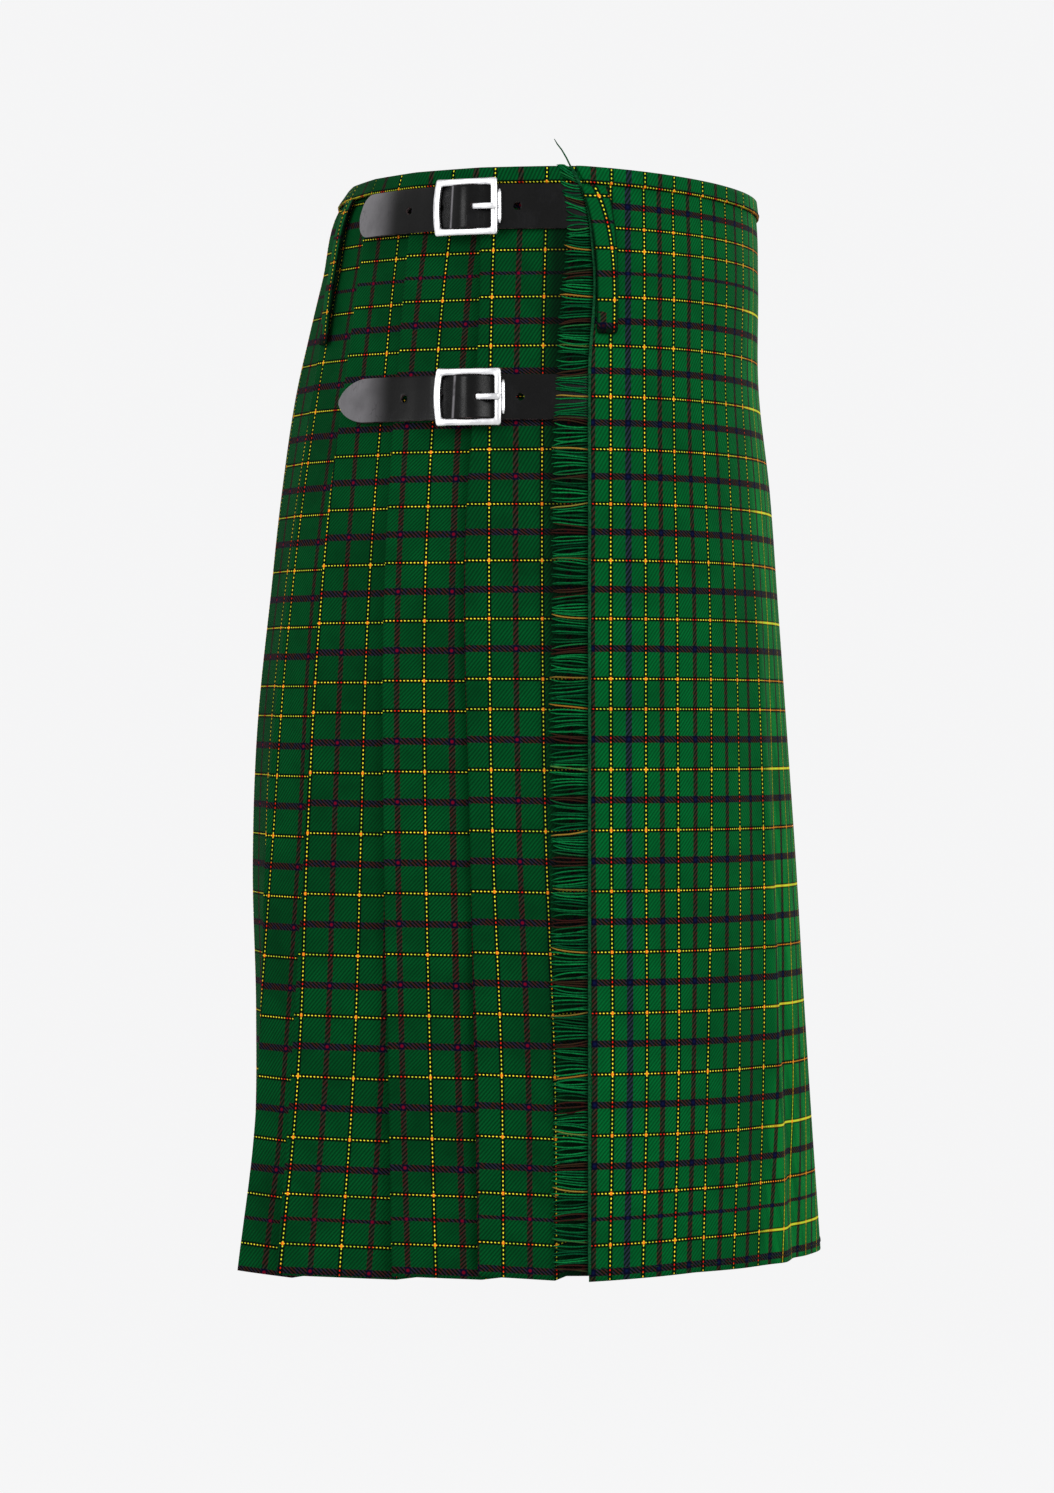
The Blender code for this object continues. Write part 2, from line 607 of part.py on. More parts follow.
# ---- straps and buckles -----------------------------------------------------------------------------
class Fastening:
    """One strap and its buckle, laid out from the buckle's centre."""

    def __init__(self, row, parts, cutters):
        self.row = row
        self.parts = parts
        self.cutters = cutters
        self.centre = behind_at(row.z, row.buckle)
        self.tip = behind_at(row.z, row.tip) - self.centre

    def at(self, back, up, out):
        """A point this far behind the buckle's centre, above it, and out of the ring."""
        return place(self.row.z + up, self.centre + back, out, self.row.side)

    def turned(self, back, up, out):
        """A matrix at such a point: X runs backwards along the strap, Z outwards."""
        spot = self.at(back, up, out)
        normal = (self.at(back, up, out + 0.001) - spot).normalized()
        along = (self.at(back + 0.001, up, out) - spot).normalized()
        across = normal.cross(along).normalized()
        matrix = Matrix((along, across, normal)).transposed().to_4x4()
        matrix.translation = spot
        return matrix

    def strap_lift(self, back):
        """The strap's centre above the ring: under both end bars and over the centre bar."""
        low = 0.5 * CLOTH + GAP + 0.5 * STRAP + SLACK
        under_bars = FRAME_LIFT - FRAME_WIRE - GAP - 0.5 * STRAP
        over_bar = BAR_LIFT + BAR_WIRE + 2.0 * GAP + 2.0 * TONGUE_WIRE + 0.5 * STRAP
        if abs(back) < STRAP_HUMP:
            share = 0.5 * (1.0 + math.cos(math.pi * back / STRAP_HUMP))
            return under_bars + (over_bar - under_bars) * share
        if back < 0.0:
            return max(low, under_bars - (-back - STRAP_HUMP) * STRAP_EASE)
        return max(low, under_bars - max(0.0, back - CHAPE_TAIL) * STRAP_FALL)

    def strap_stations(self):
        """Distances behind the buckle's centre, close together under the frame and at the tip."""
        front = self.strap_front(0.0)
        head = self.row.tip_length
        middle = np.linspace(-STRAP_MIDDLE, STRAP_MIDDLE, 14)
        before = np.linspace(front, -STRAP_MIDDLE, 6)[:-1]
        after = np.linspace(STRAP_MIDDLE, self.tip - head, 7)[1:]
        turns = [0.5 * math.pi * i / TIP_STEPS for i in range(1, TIP_STEPS + 1)]
        tip = [self.tip - head * math.cos(turn) for turn in turns]
        return [*before, *middle, *after, *tip]

    def strap_front(self, up):
        """Where the strap starts: at the apron's fringed edge, or at the fold on the left."""
        if self.row.side == LEFT:
            return MEET + CLOTH - self.centre
        return -apron_edge_at(self.row.z + up) + CLOTH - self.centre

    def strap(self):
        """The leather strap with its holes."""
        rows = [[], [], []]
        front = self.strap_front(0.0)
        for back in self.strap_stations():
            left = max(0.0, (self.tip - back) / self.row.tip_length)
            width = (1.0 - (1.0 - min(1.0, left)) ** self.row.tip_power) ** (1.0 / self.row.tip_power)
            width = max(width, TIP_BLUNT)
            for row, edge in zip(rows, (1.0, 0.0, -1.0)):
                up = edge * width * STRAP_HALF_WIDTH
                slant = (self.strap_front(up) - front) * max(0.0, 1.0 - (back - front) / STRAP_SLANT)
                row.append(self.at(back + slant, up, self.strap_lift(back)))
        name = "strap_" + self.row.name
        obj = wall(name, rows, STRAP, self.parts, material(name, LEATHER, 0.5))
        boolean(obj, self.hole_cutter(), "DIFFERENCE")

    def hole_cutter(self):
        """Round bars through the strap at its holes, the one at the tongue a little longer."""
        bm = bmesh.new()
        for step in (-1, 0, 1, 2):
            back = TONGUE_HOLE + step * HOLE_PITCH
            stretch = TONGUE_HOLE_STRETCH if step == 0 else 1.0
            matrix = self.turned(back, 0.0, self.strap_lift(back)) @ Matrix.Diagonal((stretch, 1, 1, 1))
            bmesh.ops.create_cone(
                bm,
                cap_ends=True,
                segments=HOLE_SIDES,
                radius1=HOLE_RADIUS,
                radius2=HOLE_RADIUS,
                depth=HOLE_CUT,
                matrix=matrix,
            )
        bmesh.ops.recalc_face_normals(bm, faces=bm.faces)
        return as_cutter(add_mesh("cut_holes_" + self.row.name, bm, self.cutters))

    def frame(self):
        """The buckle's ring with its bowed heel, joined to the centre bar."""
        name = "buckle_" + self.row.name
        inner_x = FRAME_HALF_LENGTH - FRAME_CORNER
        inner_z = FRAME_HALF_HEIGHT - FRAME_CORNER
        corners = ((inner_x, inner_z), (-inner_x, inner_z), (-inner_x, -inner_z), (inner_x, -inner_z))
        outline = []
        for quarter, (x, z) in enumerate(corners):
            for step in range(4):
                angle = 0.5 * math.pi * (quarter + step / 3.0)
                outline.append((x + FRAME_CORNER * math.cos(angle), z + FRAME_CORNER * math.sin(angle)))
        points = []
        for x, z in outline:
            bow = HEEL_BOW * (1.0 - abs(z) / FRAME_HALF_HEIGHT) if x > inner_x else 0.0
            points.append(self.at(x + bow, z, FRAME_LIFT))
        points.append(self.at(FRAME_HALF_LENGTH + HEEL_BOW, 0.0, FRAME_LIFT))
        look = material(name, STEEL, 0.3, 1.0)
        frame = tube(name, points, FRAME_WIRE, self.parts, look, cyclic=True)
        rise = FRAME_HALF_HEIGHT - BAR_INSET
        bend = STRAP_HALF_WIDTH - BAR_BEND
        high = FRAME_LIFT - BAR_SINK
        heights = ((-rise, high), (-bend, BAR_LIFT), (bend, BAR_LIFT), (rise, high))
        shaft = [self.at(0.0, up, lift) for up, lift in heights]
        bar = as_cutter(tube("join_bar_" + self.row.name, shaft, BAR_WIRE, self.cutters, None))
        boolean(frame, bar, "UNION")

    def tongue(self):
        """A wire hooked round the centre bar, up through the strap and onto the toe bar."""
        ring = BAR_WIRE + GAP + TONGUE_WIRE
        path = []
        for turn in TONGUE_TURNS:
            angle = math.radians(turn)
            path.append((ring * math.cos(angle), BAR_LIFT + ring * math.sin(angle)))
        rest = FRAME_LIFT + FRAME_WIRE + GAP + TONGUE_WIRE
        path.append((TONGUE_NECK[0], BAR_LIFT + TONGUE_NECK[1]))
        path.append((TONGUE_BEND[0], rest + TONGUE_BEND[1]))
        path.append((-FRAME_HALF_LENGTH + TONGUE_LAND, rest))
        path.append((-FRAME_HALF_LENGTH - TONGUE_OVERHANG, rest))
        points = [self.at(back, 0.0, lift) for back, lift in path]
        name = "tongue_" + self.row.name
        tube(name, points, TONGUE_WIRE, self.parts, material(name, STEEL, 0.3, 1.0))

    def roller(self):
        """The thin roller that lies along the outside of the toe bar."""
        back = -FRAME_HALF_LENGTH - FRAME_WIRE - ROLLER_WIRE - GAP
        lift = FRAME_LIFT - ROLLER_SINK
        ends = [self.at(back, up, lift) for up in (-ROLLER_HALF_LENGTH, ROLLER_HALF_LENGTH)]
        name = "roller_" + self.row.name
        tube(name, ends, ROLLER_WIRE, self.parts, material(name, STEEL, 0.3, 1.0))

    def chape(self):
        """The leather that is sewn under the strap and turned round the centre bar."""
        low = 0.5 * CLOTH + GAP + 0.5 * CHAPE
        eye = BAR_WIRE + GAP + 0.5 * CHAPE
        path = [(CHAPE_TAIL * share, low) for share in CHAPE_SHARES]
        path.append((CHAPE_BEND, low + GAP))
        for turn in CHAPE_TURNS:
            angle = math.radians(turn)
            path.append((eye * math.cos(angle), BAR_LIFT + eye * math.sin(angle)))
        edges = (CHAPE_HALF_WIDTH, -CHAPE_HALF_WIDTH)
        rows = [[self.at(back, up, lift) for back, lift in path] for up in edges]
        name = "chape_" + self.row.name
        obj = wall(name, rows, CHAPE, self.parts, material(name, LEATHER, 0.6))
        bm = bmesh.new()
        slot = self.turned(CHAPE_SLOT_BACK, 0.0, BAR_LIFT) @ Matrix.Diagonal((*CHAPE_SLOT, 1.0))
        bmesh.ops.create_cube(bm, size=1.0, matrix=slot)
        boolean(obj, as_cutter(add_mesh("cut_slot_" + self.row.name, bm, self.cutters)), "DIFFERENCE")

    def build(self):
        """Makes the five pieces."""
        self.strap()
        self.frame()
        self.tongue()
        self.roller()
        self.chape()


# ---- fringe -----------------------------------------------------------------------------------------
def strand_sway(index, period, shift):
    """A repeatable uneven number from -1 to 1."""
    return math.sin(index * period + shift) * math.cos(index * 0.37 * period + 1.3 * shift)


def make_fringe(parts):
    """A narrow strip on the over apron's cut edge, with threads that point backwards from it."""
    bm = bmesh.new()
    pitch = (TOP - HEM - FRINGE_TOP - FRINGE_FOOT) / STRANDS
    top = TOP - FRINGE_TOP

    def spot(z, behind, extra=0.0):
        out = layer_at(z) + 0.5 * CLOTH + 2.0 * GAP + 0.5 * FRINGE_THICKNESS + extra
        return place(z, behind, out)

    def spine(z):
        return bm.verts.new(spot(z, -apron_edge_at(z) - FRINGE_STRIP))

    def lip(z):
        return bm.verts.new(spot(z, -apron_edge_at(z) + GAP))

    back_above = spine(top)
    lip_above = lip(top)
    for i in range(STRANDS):
        z = top - i * pitch
        root_foot = lip(z - STRAND_SHARE * pitch)
        back_below = spine(z - pitch)
        lip_below = lip(z - pitch)
        bm.faces.new((back_above, lip_above, root_foot, lip_below, back_below))
        clump = strand_sway(i, 0.61, 0.4)
        length = STRAND_LENGTH * (STRAND_EVEN + STRAND_UNEVEN * strand_sway(i, 1.9, 2.2))
        hang = z - STRAND_DROOP * pitch + STRAND_CLUMP * clump
        tip_z = min(top, max(HEM + STRAND_FLOOR, hang))
        lift = STRAND_LIFT + STRAND_RUFFLE * clump
        tip = bm.verts.new(spot(tip_z, -apron_edge_at(z) + length, lift))
        bm.faces.new((lip_above, tip, root_foot))
        back_above = back_below
        lip_above = lip_below
    bmesh.ops.recalc_face_normals(bm, faces=bm.faces)
    obj = add_mesh("fringe", bm, parts, material("fringe", GREEN_DARK, 0.9))
    thicken(obj, FRINGE_THICKNESS)


def main():
    """Builds the kilt."""
    parts, cutters = clear_scene()
    make_cloth(parts)
    make_belt_loops(parts)
    for row in FASTENINGS:
        Fastening(row, parts, cutters).build()
    make_fringe(parts)


if __name__ == "__main__":
    main()
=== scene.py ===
"""Looks of the Scottish kilt: tartan cloth, fringe, straps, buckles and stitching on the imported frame.

Units are metres and +Z is up. The wearer faces -Y, so the right hip is at -X. A place on the cloth is
its height, its distance along the waist's ring behind a hip, and its distance out of that ring.
"""

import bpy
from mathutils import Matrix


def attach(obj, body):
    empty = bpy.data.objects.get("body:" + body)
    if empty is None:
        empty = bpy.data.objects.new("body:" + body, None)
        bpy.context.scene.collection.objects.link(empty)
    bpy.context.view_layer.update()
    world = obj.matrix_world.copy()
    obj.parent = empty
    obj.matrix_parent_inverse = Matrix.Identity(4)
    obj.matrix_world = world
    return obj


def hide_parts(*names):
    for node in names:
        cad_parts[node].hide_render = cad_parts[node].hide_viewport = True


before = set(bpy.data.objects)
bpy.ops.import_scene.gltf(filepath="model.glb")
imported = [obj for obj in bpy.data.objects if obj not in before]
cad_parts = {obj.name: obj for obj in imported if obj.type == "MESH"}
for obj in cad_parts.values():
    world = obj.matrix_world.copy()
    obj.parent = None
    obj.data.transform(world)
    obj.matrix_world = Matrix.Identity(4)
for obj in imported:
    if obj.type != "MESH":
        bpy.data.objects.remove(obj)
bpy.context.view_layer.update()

import logging
import math
from dataclasses import dataclass, field
from enum import Enum
from typing import Any, Callable, Optional, Sequence, Union

import bmesh
import bpy
import numpy as np
from mathutils import Vector

Array = np.ndarray
LOG = logging.getLogger("kilt")
BODY = "root"

# ---- sizes that several pieces share ----------------------------------------------------------------
CLOTH = 0.0012
GAP = 0.0003
BAND = 0.0012
LAYER = 0.0024
TOP = 0.022
BAND_FOOT = 0.013
SEAT = -0.210
HEM = -0.578
MEET = 0.010
MOUTH = 0.0020
UNDER_EDGE = 0.030
BACK_LOOP_INSET = 0.009  # the back loops lie this far inside their pleat's fold
BACK_LOOP_LEAN = 0.004  # and their feet this much further behind


class Side(Enum):
    """The hip that a piece is laid out from."""

    RIGHT = 1
    LEFT = -1


class Slot(Enum):
    """The finishes that the record names."""

    TARTAN = "tartan_wool"
    FRINGE = "fringe_wool"
    LEATHER = "black_leather"
    METAL = "satin_metal"


class Held(Enum):
    """How a sheet of cloth is held."""

    HUNG = "hung"
    FOLDED = "folded"
    STRETCHED = "stretched"


def linear(red: float, green: float, blue: float) -> tuple[float, float, float, float]:
    """A screen colour of 0 to 255 as the shader's own linear colour.

    Args:
        red, green, blue: the screen's numbers.

    Returns:
        The linear colour with an alpha of 1.
    """
    shares = [channel / 255.0 for channel in (red, green, blue)]
    lit = [s / 12.92 if s <= 0.04045 else ((s + 0.055) / 1.055) ** 2.4 for s in shares]
    return (lit[0], lit[1], lit[2], 1.0)


# ---- shader tools -----------------------------------------------------------------------------------
def math_operator(operation: str, swapped: bool = False) -> Callable[["Signal", "Number"], "Signal"]:
    """A way for two numbers to be joined by one Math node.

    Args:
        operation: the node's operation.
        swapped: whether the other number comes first.

    Returns:
        The method.
    """

    def join(self: "Signal", other: "Number") -> "Signal":
        """The operation's result."""
        return self._math(operation, other, self) if swapped else self._math(operation, self, other)

    return join


class Signal:
    """A shader socket whose Python operators add Math nodes."""

    def __init__(self, bench: "Bench", socket: bpy.types.NodeSocket) -> None:
        """Keeps the socket and the tree that it belongs to."""
        self.bench = bench
        self.socket = socket

    def _math(self, operation: str, first: "Number", second: "Number" = 0.0) -> "Signal":
        """One Math node.

        Args:
            operation: the node's operation.
            first, second: its two inputs.

        Returns:
            Its result.
        """
        made = self.bench.node("ShaderNodeMath", {"operation": operation}, {0: first, 1: second})
        return Signal(self.bench, made.outputs[0])

    __add__ = math_operator("ADD")
    __radd__ = math_operator("ADD", swapped=True)
    __sub__ = math_operator("SUBTRACT")
    __rsub__ = math_operator("SUBTRACT", swapped=True)
    __mul__ = math_operator("MULTIPLY")
    __rmul__ = math_operator("MULTIPLY", swapped=True)
    __truediv__ = math_operator("DIVIDE")
    __pow__ = math_operator("POWER")
    __gt__ = math_operator("GREATER_THAN")
    __lt__ = math_operator("LESS_THAN")
    most = math_operator("MAXIMUM")

    def __abs__(self) -> "Signal":
        """The size without its sign."""
        return self._math("ABSOLUTE", self)

    def fraction(self) -> "Signal":
        """What is left over a whole number."""
        return self._math("FRACT", self)

    def bounce(self, length: float = 1.0) -> "Signal":
        """A number that runs from 0 to the length and back."""
        return self._math("PINGPONG", self, length)

    def wave(self) -> "Signal":
        """A sine that repeats once for each whole number, from 0 to 1."""
        return self._math("SINE", self * math.tau) * 0.5 + 0.5

    def inside(self, edge: float, soft: float) -> "Signal":
        """A mask: 1 below the edge and 0 above it.

        Args:
            edge: where the mask is one half.
            soft: how far either side of that it is still changing.

        Returns:
            The mask.
        """
        return self.bench.remap(self, edge - soft, edge + soft, 1.0, 0.0)


Number = Union[float, Signal]
Colour = Union[tuple, Signal]


class Bench:
    """A material's node tree, with the few ways in which nodes are added to it."""

    def __init__(self, name: str) -> None:
        """Starts a material that holds one Principled shader."""
        self.material = bpy.data.materials.new(name)
        self.material.use_nodes = True
        self.tree = self.material.node_tree
        self.shader = self.tree.nodes["Principled BSDF"]

    def node(self, kind: str, settings: dict[str, Any], sockets: dict[Any, Any]) -> bpy.types.Node:
        """Adds one node.

        Args:
            kind: the node's type.
            settings: its own settings, which are made first.
            sockets: a value or a link for each input, by name or place.

        Returns:
            The node.
        """
        made = self.tree.nodes.new(kind)
        for key, value in settings.items():
            setattr(made, key, value)
        for key, value in sockets.items():
            self.put(made.inputs[key], value)
        return made

    def put(self, socket: bpy.types.NodeSocket, value: Any) -> None:
        """Gives an input its value, or links it."""
        if isinstance(value, Signal):
            self.tree.links.new(value.socket, socket)
        else:
            socket.default_value = value

    def remap(self, value: Number, low: float, high: float, start: float, end: float) -> Signal:
        """A smooth step from one number to another.

        Args:
            value: what it depends on.
            low, high: where the step begins and ends.
            start, end: the result there.

        Returns:
            The result.
        """
        sockets = {0: value, 1: low, 2: high, 3: start, 4: end}
        made = self.node("ShaderNodeMapRange", {"interpolation_type": "SMOOTHSTEP"}, sockets)
        return Signal(self, made.outputs[0])

    def blend(self, share: Number, first: Colour, second: Colour, how: str = "MIX") -> Signal:
        """Mixes two colours.

        Args:
            share: how much of the second one shows.
            first, second: the colours.
            how: the kind of mixing.

        Returns:
            The mixed colour.
        """
        settings = {"data_type": "RGBA", "blend_type": how}
        made = self.node("ShaderNodeMix", settings, {0: share, 6: first, 7: second})
        return Signal(self, made.outputs[2])

    def chart(self, name: str) -> tuple[Signal, Signal]:
        """The two numbers of one of the piece's own charts.

        Args:
            name: the chart's name.

        Returns:
            Its first and second number.
        """
        source = self.node("ShaderNodeUVMap", {"uv_map": name}, {})
        parts = self.node("ShaderNodeSeparateXYZ", {}, {0: Signal(self, source.outputs[0])})
        return Signal(self, parts.outputs[0]), Signal(self, parts.outputs[1])

    def place(self) -> Signal:
        """The point in the kilt's own space."""
        return Signal(self, self.node("ShaderNodeTexCoord", {}, {}).outputs["Object"])

    def point(self, x: Number, y: Number, z: Number = 0.0) -> Signal:
        """A point made from three numbers."""
        made = self.node("ShaderNodeCombineXYZ", {}, {0: x, 1: y, 2: z})
        return Signal(self, made.outputs[0])

    def noise(self, where: Signal, scale: float, detail: float = 2.0) -> Signal:
        """Soft uneven patches from 0 to 1."""
        sockets = {"Vector": where, "Scale": scale, "Detail": detail, "Roughness": 0.55}
        return Signal(self, self.node("ShaderNodeTexNoise", {}, sockets).outputs[0])

    def bump(self, height: Number, strength: float, distance: float) -> None:
        """Sends a height to the shader's normal."""
        sockets = {"Strength": strength, "Distance": distance, "Height": height}
        made = self.node("ShaderNodeBump", {}, sockets)
        self.put(self.shader.inputs["Normal"], Signal(self, made.outputs[0]))

    def finish(self, **inputs: Any) -> bpy.types.Material:
        """Fills the shader's named inputs.

        Args:
            inputs: a value or a link for each, with _ for a space.

        Returns:
            The finished material.
        """
        for key, value in inputs.items():
            self.put(self.shader.inputs[key.replace("_", " ")], value)
        return self.material


# ---- finishes ---------------------------------------------------------------------------------------
@dataclass(frozen=True)
class TartanWool:
    """The woven check: dotted yellow lines between hatched dark bands on a green twill."""

    name: str = "tartan_wool"
    light: tuple = linear(0, 70, 29)
    dark: tuple = linear(0, 41, 16)
    shade: tuple = linear(0, 38, 14)
    yellow: tuple = linear(230, 216, 50)
    lime: tuple = linear(166, 188, 44)
    orange: tuple = linear(236, 126, 24)
    red: tuple = linear(206, 24, 14)
    black: tuple = linear(1, 6, 4)
    # fresh is the lighter green of the painted sheen towards the apron's front.
    fresh: tuple = linear(6, 116, 46)
    maroon: tuple = linear(54, 20, 22)
    moss: tuple = linear(34, 38, 30)
    dusk: tuple = linear(26, 24, 48)
    navy: tuple = linear(18, 22, 48)
    halo: tuple = linear(3, 5, 26)
    knot: tuple = linear(98, 2, 24)
    knot_radius: float = 0.00085
    rim: float = 0.0  # half the width of a strip whose edges and foot get painted shade
    navy_stripe: float = 11.0
    front: float = 99.0  # the warp stripe from which the lines grow solid and the painted sheen begins
    painted_fringe_shade: float = 0.0  # how much painted shade darkens the cloth under the fringe
    twill: float = 0.0021
    hatch: float = 0.0023
    dot_down: float = 0.0023
    dot_across: float = 0.0020
    line: float = 0.00031
    guard: float = 0.00125
    warp_band: float = 0.00150
    weft_band: float = 0.00185

    def make(self) -> bpy.types.Material:
        """Builds the cloth from the piece's three charts: its stripes, their pitch and its cut."""
        b = Bench(self.name)
        warp, weft = b.chart("stripes")
        warp_pitch, weft_pitch = b.chart("pitch")
        across, down = b.chart("cut")
        later = weft > 16.5
        turned = weft + (weft < -0.5) + later
        off_warp_line = warp.bounce() * warp_pitch
        off_warp_band = (1.0 - warp.bounce()) * warp_pitch
        off_weft_line = turned.bounce() * weft_pitch
        off_weft_band = (1.0 - turned.bounce()) * weft_pitch
        thin = abs(weft - 1.0).inside(0.5, 0.01).most(abs(weft - 34.0).inside(0.5, 0.01))
        near_front = b.remap(warp, self.front - 0.8, self.front + 0.8, 0.0, 1.0)

        cut = b.point(across, down)
        patches = b.noise(cut, 11.0, 3.0)
        cells = b.noise(cut, 60.0, 2.0)
        fibre = b.noise(cut, 1700.0, 2.0)
        rising = ((across - down) / self.twill + fibre * 0.5).wave()
        falling = ((across + down) / self.hatch + fibre * 0.3).wave()
        leaning = ((across - down) / self.hatch + fibre * 0.3).wave()
        ground = b.blend(rising, self.dark, self.light)
        uneven = b.remap(patches, 0.38, 0.64, 0.0, 0.45) + b.remap(cells, 0.4, 0.7, 0.0, 0.25)
        ground = b.blend(uneven, ground, self.shade)

        # Painted sheen: soft lighter-green streaks towards the apron's front, for light that the cloth catches
        # there.
        painted_sheen_streaks = b.noise(b.point(across * 9.0, down), 14.0, 3.0)
        ground = b.blend(near_front * b.remap(painted_sheen_streaks, 0.35, 0.62, 0.10, 0.55), ground, self.fresh)

        wide = abs(warp - 3.0).inside(0.5, 0.02) * 0.00025
        warp_band = (off_warp_band - wide).inside(self.warp_band, 0.0003)
        weft_band = (off_weft_band + thin * 0.0009).inside(self.weft_band, 0.0003)
        blotch = b.remap(b.noise(cut, 330.0, 2.0), 0.42, 0.58, 0.0, 0.85)
        plain = b.blend(blotch, self.maroon, self.moss)
        dyed = b.blend(abs(warp - self.navy_stripe).inside(0.5, 0.02) * 0.85, plain, self.navy)
        hatched = b.blend(leaning.inside(0.55, 0.22) * 0.95, dyed, self.black)
        cloth = b.blend(warp_band * 0.92, ground, hatched)
        dim = b.blend(blotch, self.maroon, self.dusk)
        cloth = b.blend(weft_band * 0.95, cloth, b.blend(falling.inside(0.60, 0.22), dim, self.black))
        both = warp_band * weft_band
        cloth = b.blend(both, cloth, self.halo)
        from_knot = (off_warp_band**2.0 + off_weft_band**2.0) ** 0.5
        cloth = b.blend(from_knot.inside(self.knot_radius, 0.0004) * both, cloth, self.knot)

        guards = off_warp_line.inside(self.guard, 0.0003).most(off_weft_line.inside(self.guard, 0.0003))
        cloth = b.blend(guards * 0.9, cloth, self.black)
        chosen = abs(((weft - later - 2.0) / 4.0 + 0.5).fraction() - 0.5).inside(0.14, 0.01)
        warp_solid = near_front * off_warp_line.inside(self.line, 0.00025) * 0.55
        weft_solid = near_front * chosen * off_weft_line.inside(0.0006, 0.0003) * 0.85
        warp_dot = self._dots(off_warp_line, down, self.dot_down, 0.00052).most(warp_solid)
        weft_dot = self._dots(off_weft_line, across, self.dot_across, 0.00045).most(weft_solid)
        tone = b.blend(b.remap(cells, 0.35, 0.65, 0.0, 1.0), self.yellow, self.lime)
        warp_tone = b.blend(off_weft_band.inside(0.0034, 0.0012) * 0.75, tone, self.orange)
        warp_tone = b.blend(off_weft_band.inside(0.0017, 0.0004), warp_tone, self.red)
        warp_tone = b.blend(near_front * 0.5, warp_tone, self.lime)
        weft_tone = b.blend(off_warp_band.inside(0.0030, 0.0012) * 0.6, tone, self.orange)
        weft_tone = b.blend(off_warp_band.inside(0.0015, 0.0004), weft_tone, self.red)
        weft_tone = b.blend(near_front * (1.0 - chosen) * 0.7, weft_tone, self.orange)
        weft_tone = b.blend(near_front * chosen * 0.7, weft_tone, self.lime)
        cloth = b.blend(warp_dot, cloth, warp_tone)
        cloth = b.blend(weft_dot, cloth, weft_tone)
        crossing = off_warp_line.inside(0.0006, 0.0002) * off_weft_line.inside(0.0008, 0.0003)
        cloth = b.blend(crossing, cloth, self.orange)
        # Painted shade: the cloth that lies under the fringe is darkened.
        if self.painted_fringe_shade:
            under = b.remap(warp, -2.6, -2.0, 0.0, 1.0) * b.remap(warp, -0.5, 0.4, 1.0, 0.0)
            cloth = b.blend(under * self.painted_fringe_shade, cloth, self.black)
        # Painted shade along a belt loop's two edges and its rounded foot, where it stands off the cloth.
        if self.rim:
            edges = b.remap(abs(across), self.rim - 0.0016, self.rim - 0.0002, 0.0, 0.82)
            cloth = b.blend(edges.most(b.remap(down, 0.0876, 0.0902, 0.0, 0.9)), cloth, self.black)

        ribs = rising * 0.5 + warp_dot * 0.5 + weft_dot * 0.5 + fibre * 0.5
        b.bump(ribs, 0.4, 0.0004)
        return b.finish(
            Base_Color=cloth,
            Roughness=b.remap(fibre, 0.3, 0.7, 0.80, 0.95),
            Specular_IOR_Level=0.025,
        )

    def _dots(self, away: Signal, along: Signal, pitch: float, half: float) -> Signal:
        """A row of round-ended dots along a line.

        Args:
            away: the distance from the line.
            along: the distance along it.
            pitch: from one dot to the next.
            half: half a dot's length.

        Returns:
            The mask of the dots.
        """
        step = abs((along / pitch).fraction() - 0.5) * pitch
        return ((away / self.line) ** 2.0 + (step / half) ** 2.0).inside(1.1, 0.5)


@dataclass(frozen=True)
class FringeWool:
    """The ravelled threads, each in the colour of the weft row that it comes from."""

    name: str = "fringe_wool"
    green: tuple = linear(8, 112, 54)
    teal: tuple = linear(0, 66, 36)
    # dark serves both as the random darker threads and as the threads' painted shade.
    dark: tuple = linear(0, 12, 6)
    yellow: tuple = linear(188, 122, 34)
    maroon: tuple = linear(44, 10, 12)

    def make(self) -> bpy.types.Material:
        """Builds the threads' finish from their charts: their weft row, and how far in each side lies, which
        gives the threads' inner sides painted shade.
        """
        b = Bench(self.name)
        along, weft = b.chart("stripes")
        inward, mix = b.chart("depth")
        turned = weft + (weft < -0.5) + (weft > 16.5)
        ripple = b.noise(b.place(), 900.0, 2.0)
        tone = b.blend(mix, self.green, self.teal)
        tone = b.blend(b.remap((mix * 7.3).fraction(), 0.55, 0.95, 0.0, 0.65), tone, self.dark)
        tone = b.blend(b.remap(ripple, 0.40, 0.62, 0.0, 0.35), tone, self.dark)
        tone = b.blend((1.0 - turned.bounce()).inside(0.15, 0.02) * 0.92, tone, self.maroon)
        tone = b.blend(turned.bounce().inside(0.04, 0.015) * 0.45, tone, self.yellow)
        # Painted shade on each thread's side that faces the cloth, and at its root by the cord.
        tone = b.blend(b.remap(inward, 0.35, 0.95, 0.0, 0.92), tone, self.dark)
        tone = b.blend(along.inside(0.10, 0.1) * 0.6, tone, self.dark)
        b.bump(ripple, 0.4, 0.0002)
        return b.finish(
            Base_Color=tone,
            Roughness=b.remap(ripple, 0.3, 0.7, 0.75, 0.92),
            Specular_IOR_Level=0.04,
        )


@dataclass(frozen=True)
class Thread:
    """A plain sewing thread or cord."""

    name: str
    light: tuple
    dark: tuple
    twist: float = 900.0

    def make(self) -> bpy.types.Material:
        """Builds the thread with a fine uneven twist."""
        b = Bench(self.name)
        twist = b.noise(b.place(), self.twist, 2.0)
        b.bump(twist, 0.4, 0.0002)
        return b.finish(
            Base_Color=b.blend(b.remap(twist, 0.35, 0.65, 0.0, 1.0), self.light, self.dark),
            Roughness=b.remap(twist, 0.3, 0.7, 0.6, 0.85),
            Specular_IOR_Level=0.08,
        )


